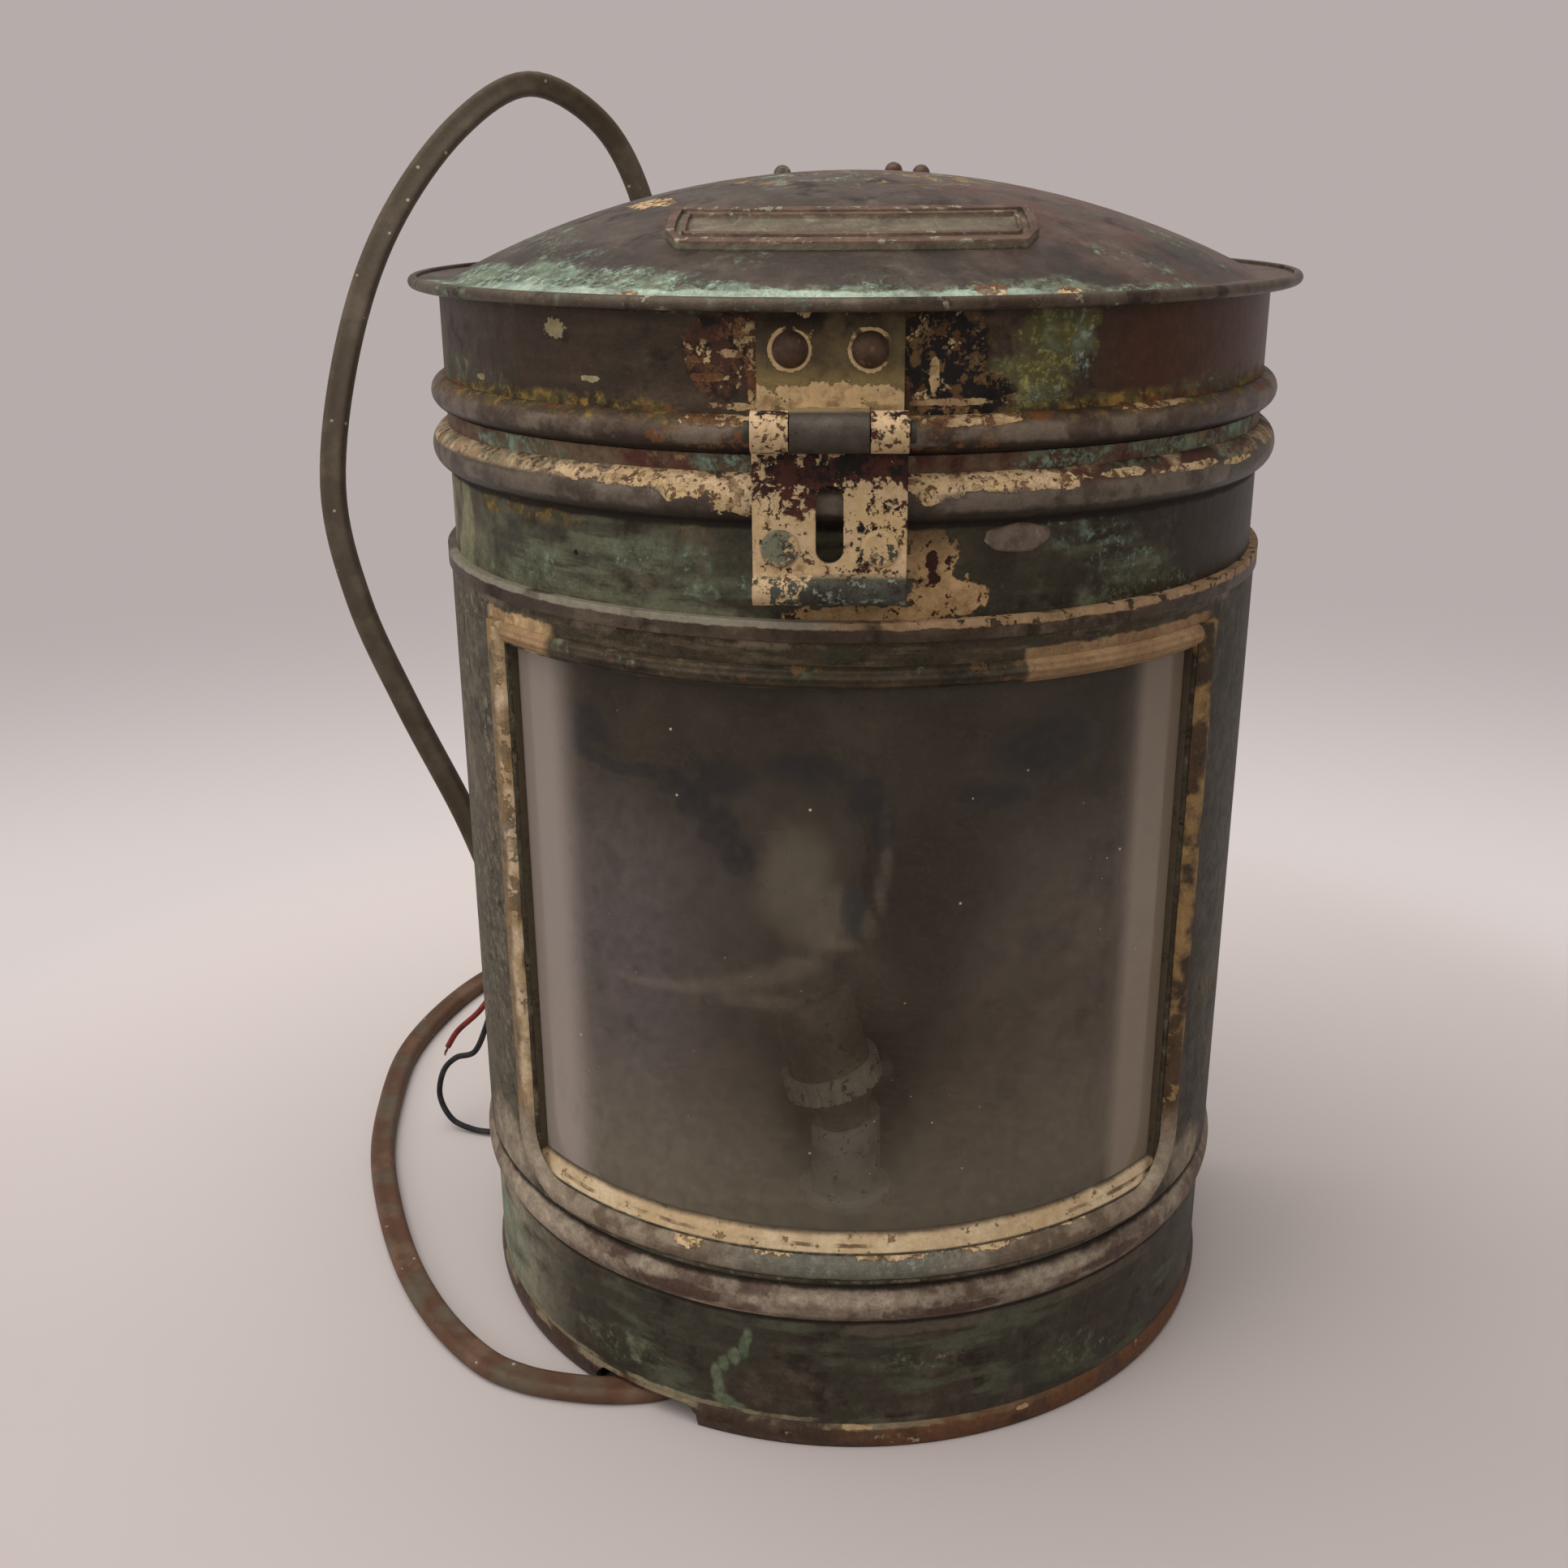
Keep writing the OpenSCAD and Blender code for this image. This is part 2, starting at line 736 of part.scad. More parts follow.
// One leaf of the lid hinge, below its axis for up = -1 and above it for up = 1, with the
// knuckles that it carries
module hinge_leaf(up, first) {
    difference() {
        union() {
            translate([-hinge_w / 2, hinge_back, up > 0 ? hinge_z + knuckle_room
                                                        : hinge_z - knuckle_room - hinge_leaf_h])
                cube([hinge_w, hinge_t, hinge_leaf_h]);
            for (i = [first : 2 : knuckles - 1])
                translate([-hinge_w / 2 + i * (knuckle_w + side_gap), 0, 0]) {
                    translate([0, hinge_y, hinge_z])
                        rod_x(knuckle_r, 0, knuckle_w);
                    translate([0, hinge_back, up > 0 ? hinge_z + lid_gap / 2
                                                     : hinge_z - knuckle_room - cut])
                        cube([knuckle_w, hinge_t, knuckle_room + cut - lid_gap / 2]);
                }
        }
        translate([0, hinge_y, hinge_z])
            rod_x(hinge_pin_r + pin_fit, -hinge_w, hinge_w);
        hinge_rivet_places(up)
            rivet_bore();
    }
}

module hinge_body_leaf() {
    color(old_brass)
        hinge_leaf(-1, 0);
}

module hinge_lid_leaf() {
    color(old_brass)
        hinge_leaf(1, 1);
}

module hinge_body_rivets() {
    color(copper_brown)
        hinge_rivet_places(-1)
            rivet(small_rivet_r, rivet_head_h, hinge_t + sheet);
}

module hinge_lid_rivets() {
    color(copper_brown)
        hinge_rivet_places(1)
            rivet(small_rivet_r, rivet_head_h, hinge_t + sheet);
}

// Pin along X with a riveted head at both ends, for knuckles that take up a width w
module headed_pin(r, w) {
    head_l = 1.4;
    head_out = 0.8;
    end = w / 2 + side_gap;
    rod_x(r, -end, end);
    for (x = [-end - head_l, end])
        rod_x(r + head_out, x, x + head_l);
}

module hinge_pin() {
    color(dull_iron)
        translate([0, hinge_y, hinge_z])
            headed_pin(hinge_pin_r, hinge_w);
}

module socket_plate() {
    color(copper_brown)
        difference() {
            translate([-socket_w / 2, back_y, socket_z])
                cube([socket_w, socket_t, socket_h]);
            socket_rivet_places()
                rivet_bore();
        }
}

// Strap that makes the slot for the ship's bracket, open above and below
module socket_strap() {
    color(copper_brown)
        translate([0, back_y + socket_t, socket_z + (socket_h - strap_h) / 2])
            linear_extrude(height = strap_h)
                difference() {
                    translate([-slide_w / 2 - socket_t, 0])
                        square([slide_w + 2 * socket_t, slide_d + socket_t]);
                    translate([-slide_w / 2, -cut])
                        square([slide_w, slide_d + cut]);
                }
}

module socket_rivets() {
    color(copper_brown)
        socket_rivet_places()
            rivet(rivet_r, rivet_head_h, socket_t + sheet);
}

// Leans its children with the lamp, with Z along the lamp from the top of the pillar
module lamp_axis() {
    translate([0, -lamp_front, lamp_z])
        rotate([0, -lamp_lean, 0])
            children();
}

// Tube that is open at both ends
module tube(r, bore, h) {
    difference() {
        cylinder(r = r, h = h);
        translate([0, 0, -cut])
            cylinder(r = bore, h = h + 2 * cut);
    }
}

module lamp_pillar() {
    foot_r = pillar_r + 4;
    foot_h = 3;
    color(white_glaze)
        difference() {
            translate([0, -lamp_front, pan_z]) {
                cylinder(r = foot_r, h = foot_h);
                cylinder(r = pillar_r, h = pillar_h + pillar_r);
            }
            lamp_axis()
                translate([-far / 2, -far / 2, 0])
                    cube([far, far, far]);
        }
}

module holder_cap() {
    foot_r = 9;
    foot_h = 3;
    color(old_brass)
        lamp_axis()
            rotate_extrude()
                polygon([[0, 0], [foot_r, 0], [foot_r, foot_h], [holder_r, holder_cap_h],
                         [0, holder_cap_h]]);
}

module holder_barrel() {
    slot = 2 * (bayonet_pin_r + side_gap);
    slot_end = 6;
    color(old_brass)
        lamp_axis()
            translate([0, 0, holder_cap_h])
                difference() {
                    tube(holder_r, holder_bore, holder_h);
                    for (turn = [0, 180])
                        rotate([0, 0, turn]) {
                            translate([0, -slot / 2, pin_s - holder_cap_h - slot / 2])
                                cube([holder_r + cut, slot, holder_h]);
                            rotate_extrude(angle = bayonet_turn + slot_end)
                                translate([cap_r - cut, pin_s - holder_cap_h - slot / 2])
                                    square([holder_r, slot]);
                        }
                }
}

module holder_insert() {
    color(white_glaze)
        lamp_axis()
            translate([0, 0, holder_cap_h])
                cylinder(r = holder_bore - solder_gap, h = insert_h);
}

module holder_plungers() {
    plunger_x = 5;
    plunger_r = 2.2;
    color(old_brass)
        lamp_axis()
            for (side = [-1, 1])
                translate([side * plunger_x, 0, holder_cap_h + insert_h])
                    cylinder(r = plunger_r, h = plunger_h);
}

module shade_ring() {
    grooves = 24;
    groove_r = 1;
    groove_t = 0.6;
    ring_up = 1;
    color(old_brass)
        lamp_axis()
            translate([0, 0, holder_cap_h + ring_up])
                difference() {
                    tube(shade_ring_r, holder_r + solder_gap, shade_ring_h);
                    for (i = [0 : grooves - 1])
                        rotate([0, 0, i * 360 / grooves])
                            translate([shade_ring_r + groove_r - groove_t, 0, -cut])
                                cylinder(r = groove_r, h = shade_ring_h + 2 * cut);
                }
}

module bulb_cap() {
    wall = 0.8;
    floor_t = 2;
    pin_l = 2.4;
    color(old_brass)
        lamp_axis() {
            translate([0, 0, cap_s])
                difference() {
                    cylinder(r = cap_r, h = cap_h);
                    translate([0, 0, floor_t])
                        cylinder(r = cap_r - wall, h = cap_h);
                }
            for (turn = [0, 180])
                rotate([0, 0, bayonet_turn + turn])
                    translate([cap_r - wall / 2, 0, pin_s])
                        rod_x(bayonet_pin_r, 0, pin_l);
        }
}

// Half outline of the bulb, drawn in by t: a ball on a neck that widens to the ball's shoulder
module bulb_outline(t) {
    shoulder_angle = 34;
    flare_h = 8;
    flare_out = 3;
    flare_s = neck_s + neck_lap + cut;
    shoulder_s = bulb_s - bulb_r * sin(shoulder_angle);
    intersection() {
        union() {
            translate([0, bulb_s])
                circle(r = bulb_r - t);
            polygon([[0, neck_s], [neck_r - t, neck_s], [neck_r - t, flare_s],
                     [neck_r + flare_out - t, flare_s + flare_h],
                     [bulb_r * cos(shoulder_angle) - t, shoulder_s], [0, shoulder_s]]);
        }
        translate([0, neck_s])
            square([2 * bulb_r, 3 * bulb_l]);
    }
}

module bulb_glass() {
    color(clear_glass)
        lamp_axis()
            rotate_extrude()
                difference() {
                    bulb_outline(0);
                    bulb_outline(bulb_t);
                }
}

module bulb_stem() {
    foot_t = 2;
    stem_r = 3;
    color(clear_glass)
        lamp_axis()
            translate([0, 0, neck_s]) {
                cylinder(r = neck_r - bulb_t - solder_gap, h = foot_t);
                cylinder(r = stem_r, h = stem_top - neck_s);
            }
}

// Two supports and the filament's ring between their tips
module bulb_filament() {
    ring_r = 9;
    foot_x = 2;
    wire = 0.5;
    lean = atan((ring_r - foot_x) / filament_up);
    color(dull_iron)
        lamp_axis()
            translate([0, 0, stem_top]) {
                for (turn = [0, 180])
                    rotate([0, 0, turn]) {
                        translate([foot_x, 0, wire * sin(lean)])
                            rotate([0, lean, 0])
                                cylinder(r = wire, h = filament_up / cos(lean));
                        translate([ring_r, 0, filament_up])
                            sphere(r = 2 * wire);
                    }
                translate([0, 0, filament_up])
                    rotate_extrude(angle = 180)
                        translate([ring_r, 0])
                            circle(r = wire);
            }
}

module terminal_block() {
    color(white_glaze)
        translate([block_at[0], block_at[1], pan_z - sheet - block_size[2]])
            cube(block_size);
}

// Point of a smooth curve through the route, between points i and i + 1
function curve_point(p, i, t) =
    let (a = p[max(i - 1, 0)], b = p[i], c = p[i + 1], d = p[min(i + 2, len(p) - 1)])
    0.5 * (2 * b + (c - a) * t + (2 * a - 5 * b + 4 * c - d) * t * t
           + (3 * b - a - 3 * c + d) * t * t * t);

function smooth(p, steps) = [
    for (i = [0 : len(p) - 2])
        for (k = [0 : steps - 1])
            curve_point(p, i, k / steps),
    p[len(p) - 1]
];

function unit(v) = v / norm(v);

function heading(p, i) = unit(p[min(i + 1, len(p) - 1)] - p[max(i - 1, 0)]);

// The ends of a tube are square to the route's first and last stretch
function tube_heading(line, route, i) =
    i == 0 ? unit(route[1] - route[0])
    : i == len(line) - 1 ? unit(route[len(route) - 1] - route[len(route) - 2])
    : heading(line, i);

// Sweeps a closed section along a smooth line whose flat side faces the given way at each point
module sweep(route, faces, section, steps) {
    line = smooth(route, steps);
    facing = smooth(faces, steps);
    n = len(section);
    last = len(line) - 1;
    points = [
        for (i = [0 : last])
            let (ahead = tube_heading(line, route, i))
            let (across = unit(cross(ahead, facing[i])))
            let (up = cross(across, ahead))
            for (s = section)
                line[i] + s[0] * across + s[1] * up
    ];
    sides = [
        for (i = [0 : last - 1])
            for (k = [0 : n - 1])
                let (a = i * n + k, b = i * n + (k + 1) % n)
                each [[a, b, a + n], [b, b + n, a + n]]
    ];
    start = [for (k = [1 : n - 2]) [0, k + 1, k]];
    finish = [for (k = [1 : n - 2]) [last * n, last * n + k, last * n + k + 1]];
    polyhedron(points = points, faces = concat(start, sides, finish));
}

// Section of the flat cable: two half rounds joined by flats
function flat_section() =
    let (round_r = cable_t / 2, middle = cable_w / 2 - cable_t / 2)
    [for (side = [0, 180])
        for (a = [-72 : 36 : 72])
            [middle * cos(side), 0] + round_r * [cos(a + side), sin(a + side)]];

// Section of a round wire
function round_section(d, sides) = [
    for (k = [0 : sides - 1])
        d / 2 * [cos(k * 360 / sides), sin(k * 360 / sides)]
];

module cable() {
    color(cable_khaki)
        sweep(cable_route, cable_faces, flat_section(), 2);
}

module core(route) {
    sweep(route, [for (p = route) flat_front], round_section(core_d, 8), 3);
}

module core_red() {
    color(core_crimson)
        core(core_red_route);
}

module core_black() {
    color(core_dark)
        core(core_black_route);
}

module lid_band() {
    color(copper_red)
        difference() {
            d_ring(upper_r, sheet, lid_z, lid_h);
            hasp_rivet_bores();
            hinge_rivet_places(1)
                rivet_bore();
        }
}

module lid_bead() {
    color(copper_green)
        front_bead(upper_r, lid_bead_h, lid_bead_out, lid_bead_z);
}

// Spherical cap from the middle of the brim's sheet upwards, grown by t
module dome_ball(t) {
    translate([0, 0, dome_centre])
        rotate_extrude($fn = dome_fn)
            intersection() {
                circle(r = dome_sphere + t, $fn = dome_fn);
                translate([0, brim_top - sheet / 2 - dome_centre])
                    square([2 * dome_r, dome_h + sheet + abs(t) + cut]);
            }
}

module dome() {
    color(copper_brown) {
        intersection() {
            difference() {
                dome_ball(0);
                dome_ball(-sheet);
            }
            translate([-far / 2, dome_back_y - far, 0])
                cube([far, far, far]);
        }
        translate([0, 0, brim_z])
            linear_extrude(height = sheet)
                difference() {
                    d_outline(flange_r);
                    d_outline(dome_r - 3 * sheet);
                }
    }
}

// Upright plate that closes the dome at the flat back
module dome_back() {
    color(copper_brown)
        intersection() {
            dome_ball(-sheet);
            translate([-far / 2, dome_back_y - sheet, brim_top])
                cube([far, sheet, dome_h]);
        }
}

module brim_wire() {
    color(copper_green)
        front_bead(flange_r, brim_wire_d * sqrt(3) / 2, 0.75 * brim_wire_d, brim_top - sheet / 2);
}

// Plan of the name plate, drawn in by d: a ring section with cut corners
module plate_plan(d) {
    middle = (plate_r0 + plate_r1) / 2;
    half = plate_half - d;
    drop = plate_r1 - sqrt(plate_r1 * plate_r1 - half * half);
    top = drop - d;
    intersection() {
        difference() {
            circle(r = plate_r1 - d);
            circle(r = plate_r0 + d);
        }
        polygon([[-half, drop - middle - plate_cut / 2], [plate_cut - half, -plate_r1 - border_w],
                 [half - plate_cut, -plate_r1 - border_w], [half, drop - middle - plate_cut / 2],
                 [half, drop - middle + plate_cut / 2], [half - plate_cut, top],
                 [plate_cut - half, top], [-half, drop - middle + plate_cut / 2]]);
    }
}

// Layer on the dome between two heights above it, over the plan of its children
module dome_layer(h0, h1) {
    intersection() {
        difference() {
            dome_ball(h1);
            dome_ball(h0);
        }
        linear_extrude(height = far)
            children();
    }
}

module name_plate() {
    line_in = border_w + border_gap;
    color(old_brass) {
        dome_layer(0, plate_t)
            plate_plan(0);
        dome_layer(plate_t, plate_t + border_t)
            difference() {
                plate_plan(0);
                plate_plan(border_w);
            }
        dome_layer(plate_t, plate_t + border_t)
            difference() {
                plate_plan(line_in);
                plate_plan(line_in + line_w);
            }
    }
}

module dome_rivets() {
    places = [[-dome_rivet_x, dome_rivet_y], [0.6 * dome_rivet_x, 0.85 * dome_rivet_y],
              [dome_rivet_x, 1.15 * dome_rivet_y]];
    color(copper_brown)
        difference() {
            for (p = places)
                translate([p[0], p[1], dome_centre + sqrt(dome_sphere * dome_sphere - p * p)])
                    sphere(r = dome_rivet_r);
            dome_ball(0);
        }
}

// Plate on the lid band with the middle knuckle of the hasp, carried forward over the lid bead
module hasp_plate() {
    half = to_degrees(hasp_plate_w / 2 / upper_r);
    ledge_t = 2;
    color(paint_cream)
        difference() {
            union() {
                arc_bar(upper_r, upper_r + hasp_plate_t, hasp_plate_z0, brim_z - hasp_gap - hasp_plate_z0,
                        hasp_az - half, hasp_az + half);
                translate([hasp_x - hasp_knuckle_w / 2, hasp_y, hasp_z + hasp_knuckle_r - ledge_t])
                    cube([hasp_knuckle_w, -hasp_y - upper_r, ledge_t]);
                translate([hasp_x, hasp_y, hasp_z])
                    rod_x(hasp_knuckle_r, -hasp_knuckle_w / 2, hasp_knuckle_w / 2);
            }
            translate([hasp_x, hasp_y, hasp_z])
                rod_x(hasp_pin_r + pin_fit, -leaf_w, leaf_w);
            cylinder(r = upper_r, h = far);
            hasp_rivet_bores();
        }
}

module hasp_rivets() {
    color(copper_brown)
        for (side = [-1, 1])
            place(hasp_az + side * hasp_rivet_half, upper_r + hasp_plate_t, hasp_rivet_z)
                rotate([90, 0, 0])
                    rivet(rivet_r, rivet_head_h, hasp_plate_t + sheet);
}

module hasp_pin() {
    color(dull_iron)
        translate([hasp_x, hasp_y, hasp_z])
            headed_pin(hasp_pin_r, leaf_w);
}

// Swinging leaf with its two outer knuckles, its slot and the finger lip at its foot
module hasp_leaf() {
    side_w = (leaf_w - hasp_knuckle_w) / 2 - side_gap;
    leaf_top = hasp_z - hasp_knuckle_r - hasp_gap;
    leaf_foot = hasp_z - leaf_l;
    color(paint_cream)
        difference() {
            union() {
                translate([hasp_x - leaf_w / 2, leaf_y - leaf_t, leaf_foot + lip_r])
                    cube([leaf_w, leaf_t, leaf_top - leaf_foot - lip_r]);
                for (x = [-leaf_w / 2, leaf_w / 2 - side_w]) {
                    translate([hasp_x + x, leaf_y - leaf_t, leaf_top - cut])
                        cube([side_w, leaf_t, hasp_z - leaf_top + cut]);
                    translate([hasp_x, hasp_y, hasp_z])
                        rod_x(hasp_knuckle_r, x, x + side_w);
                }
                difference() {
                    translate([hasp_x, leaf_y - lip_r / 2, leaf_foot + lip_r])
                        rod_x(lip_r, -leaf_w / 2, leaf_w / 2);
                    translate([-far / 2, leaf_y, 0])
                        cube([far, far, far]);
                }
            }
            translate([hasp_x, hasp_y, hasp_z])
                rod_x(hasp_pin_r + pin_fit, -leaf_w, leaf_w);
            translate([hasp_x, leaf_y, hasp_z - slot_drop - slot_l])
                rotate([90, 0, 0])
                    linear_extrude(height = 4 * leaf_t, center = true) {
                        translate([-slot_w / 2, slot_w / 2])
                            square([slot_w, slot_l - slot_w]);
                        for (z = [slot_w / 2, slot_l - slot_w / 2])
                            translate([0, z])
                                circle(r = slot_w / 2);
                    }
        }
}

module hasp_discs() {
    disc_t = 0.9;
    bevel = 1;
    color(dull_iron)
        for (side = [-1, 1])
            translate([hasp_x + side * disc_x, leaf_y - leaf_t, hasp_z - slot_drop - slot_l + disc_up])
                rotate([90, 0, 0])
                    rotate_extrude()
                        polygon([[0, 0], [disc_r, 0], [disc_r, disc_t / 2], [disc_r - bevel, disc_t],
                                 [0, disc_t]]);
}

base_band();
base_rim();
base_roll();
base_pan();
window_shell();
window_frame();
head_bead();
glass_putty();
window_glass();
glass_channel_left();
glass_channel_right();
glass_sill();
glass_head();
seam_ring();
upper_band();
body_bead();
inner_collar();
solder_patch();
hinge_body_leaf();
hinge_body_rivets();
hinge_pin();
socket_plate();
socket_strap();
socket_rivets();
lamp_pillar();
holder_cap();
holder_barrel();
holder_insert();
holder_plungers();
shade_ring();
bulb_cap();
bulb_glass();
bulb_stem();
bulb_filament();
terminal_block();
cable();
core_red();
core_black();
lid_band();
lid_bead();
dome();
dome_back();
brim_wire();
name_plate();
dome_rivets();
hinge_lid_leaf();
hinge_lid_rivets();
hasp_plate();
hasp_rivets();
hasp_pin();
hasp_leaf();
hasp_discs();
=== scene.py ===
"""Looks of a ship stern lantern: old copper with green patina and cream paint, a dirty curved window,
a lamp inside and a flat twin cable. All lengths are in metres unless a name ends in _mm."""

import functools
import math
import random

import bpy
from mathutils import Matrix, Vector, noise


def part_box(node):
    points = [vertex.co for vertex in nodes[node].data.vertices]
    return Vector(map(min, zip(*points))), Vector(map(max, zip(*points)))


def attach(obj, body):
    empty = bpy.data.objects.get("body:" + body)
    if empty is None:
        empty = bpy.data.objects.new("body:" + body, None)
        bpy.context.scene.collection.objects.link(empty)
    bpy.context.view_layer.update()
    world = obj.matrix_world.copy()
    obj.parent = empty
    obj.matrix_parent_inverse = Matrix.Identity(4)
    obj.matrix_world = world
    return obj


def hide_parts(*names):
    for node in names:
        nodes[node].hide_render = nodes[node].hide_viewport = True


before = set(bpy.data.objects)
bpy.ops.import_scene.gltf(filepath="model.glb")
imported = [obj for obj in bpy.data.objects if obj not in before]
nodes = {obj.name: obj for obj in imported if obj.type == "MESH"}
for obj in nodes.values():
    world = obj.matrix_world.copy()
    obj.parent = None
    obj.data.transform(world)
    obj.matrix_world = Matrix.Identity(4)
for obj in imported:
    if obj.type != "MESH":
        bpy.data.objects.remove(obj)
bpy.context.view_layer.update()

MM = 0.001
# Share of shine on weathered surfaces, far under the 0.5 of a clean one
DULL_GLOSS = 0.14
# Radius that azimuths are measured on, and the dome's ball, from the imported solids
body_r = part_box("window_shell")[1].x
upper_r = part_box("upper_band")[1].x
dome_foot_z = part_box("dome_back")[0].z
dome_top_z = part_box("dome")[1].z
dome_foot_r = upper_r - 4 * MM
dome_rise = dome_top_z - dome_foot_z
dome_ball_r = (dome_foot_r**2 + dome_rise**2) / (2 * dome_rise)
dome_centre = Vector((0, 0, dome_top_z - dome_ball_r))


def new_object(name, data):
    thing = bpy.data.objects.new(name, data)
    bpy.context.scene.collection.objects.link(thing)
    return thing


def make_camera():
    """Camera at the photograph's viewpoint."""
    place = Vector((0.0, -0.5604, 0.3760))
    yaw, pitch, roll = math.radians(-2.28), math.radians(19.81), math.radians(-0.41)
    forward = Vector((math.sin(yaw) * math.cos(pitch), math.cos(yaw) * math.cos(pitch), -math.sin(pitch)))
    right = Vector((math.cos(yaw), -math.sin(yaw), 0))
    up = right.cross(forward)
    right, up = (
        math.cos(roll) * right + math.sin(roll) * up,
        math.cos(roll) * up - math.sin(roll) * right,
    )
    data = bpy.data.cameras.new("photo_camera")
    data.sensor_width = 36
    data.lens = 39.13
    data.clip_start = 0.01
    camera = new_object("photo_camera", data)
    camera.matrix_world = Matrix((
        (right.x, up.x, -forward.x, place.x),
        (right.y, up.y, -forward.y, place.y),
        (right.z, up.z, -forward.z, place.z),
        (0, 0, 0, 1),
    ))
    bpy.context.scene.camera = camera


def shade(colour, gain):
    return tuple(gain * part for part in colour)


class Nodes:
    """Adds nodes to a node tree and links them. Colours are linear, in thousandths."""

    def __init__(self, tree):
        self.tree = tree

    def add(self, kind, *inputs, **settings):
        """A new node, with its first inputs linked or set, and its settings made."""
        node = self.tree.nodes.new("ShaderNode" + kind)
        for key, value in settings.items():
            setattr(node, key, value)
        for socket, value in zip(node.inputs, inputs):
            self.feed(socket, value)
        return node

    def feed(self, socket, value):
        if isinstance(value, bpy.types.NodeSocket):
            self.tree.links.new(value, socket)
        elif value is not None:
            socket.default_value = (*shade(value, 0.001), 1) if socket.type == "RGBA" else value

    def math(self, operation, *inputs):
        return self.add("Math", *inputs, operation=operation).outputs[0]

    def vector(self, operation, *inputs):
        node = self.add("VectorMath", *inputs, operation=operation)
        return node.outputs["Value" if operation == "LENGTH" else "Vector"]

    def smooth(self, value, low, high):
        """0 below low, 1 above high, and a smooth step between; falling if low is above high."""
        return self.add("MapRange", value, low, high, interpolation_type="SMOOTHSTEP").outputs[0]

    def part(self, mask, share):
        """Mask at a share of its strength."""
        return self.math("MULTIPLY", mask, share)

    def plus(self, base, mask, gain):
        """Base with a mask times a gain added to it."""
        return self.math("MULTIPLY_ADD", mask, gain, base)

    def both(self, *masks):
        """Masks and shares, multiplied."""
        return functools.reduce(self.part, masks)

    def whole(self, mask):
        """A mask as it is, or what a tuple of masks and shares gives when they are multiplied."""
        return self.both(*mask) if isinstance(mask, tuple) else mask

    def either(self, a, b):
        return self.math("MAXIMUM", a, b)

    def rest(self, mask):
        """All that a mask leaves out."""
        return self.math("SUBTRACT", 1, mask)

    def without(self, mask, hole):
        return self.both(mask, self.rest(hole))

    def blend(self, mask, low, high, colour=False):
        """Number or colour between low and high as the mask goes from 0 to 1."""
        node = self.add("Mix", mask, data_type="RGBA" if colour else "FLOAT")
        first = 6 if colour else 2
        self.feed(node.inputs[first], low)
        self.feed(node.inputs[first + 1], high)
        return node.outputs[2 if colour else 0]

    def tint(self, mask, low, high):
        return self.blend(mask, low, high, True)


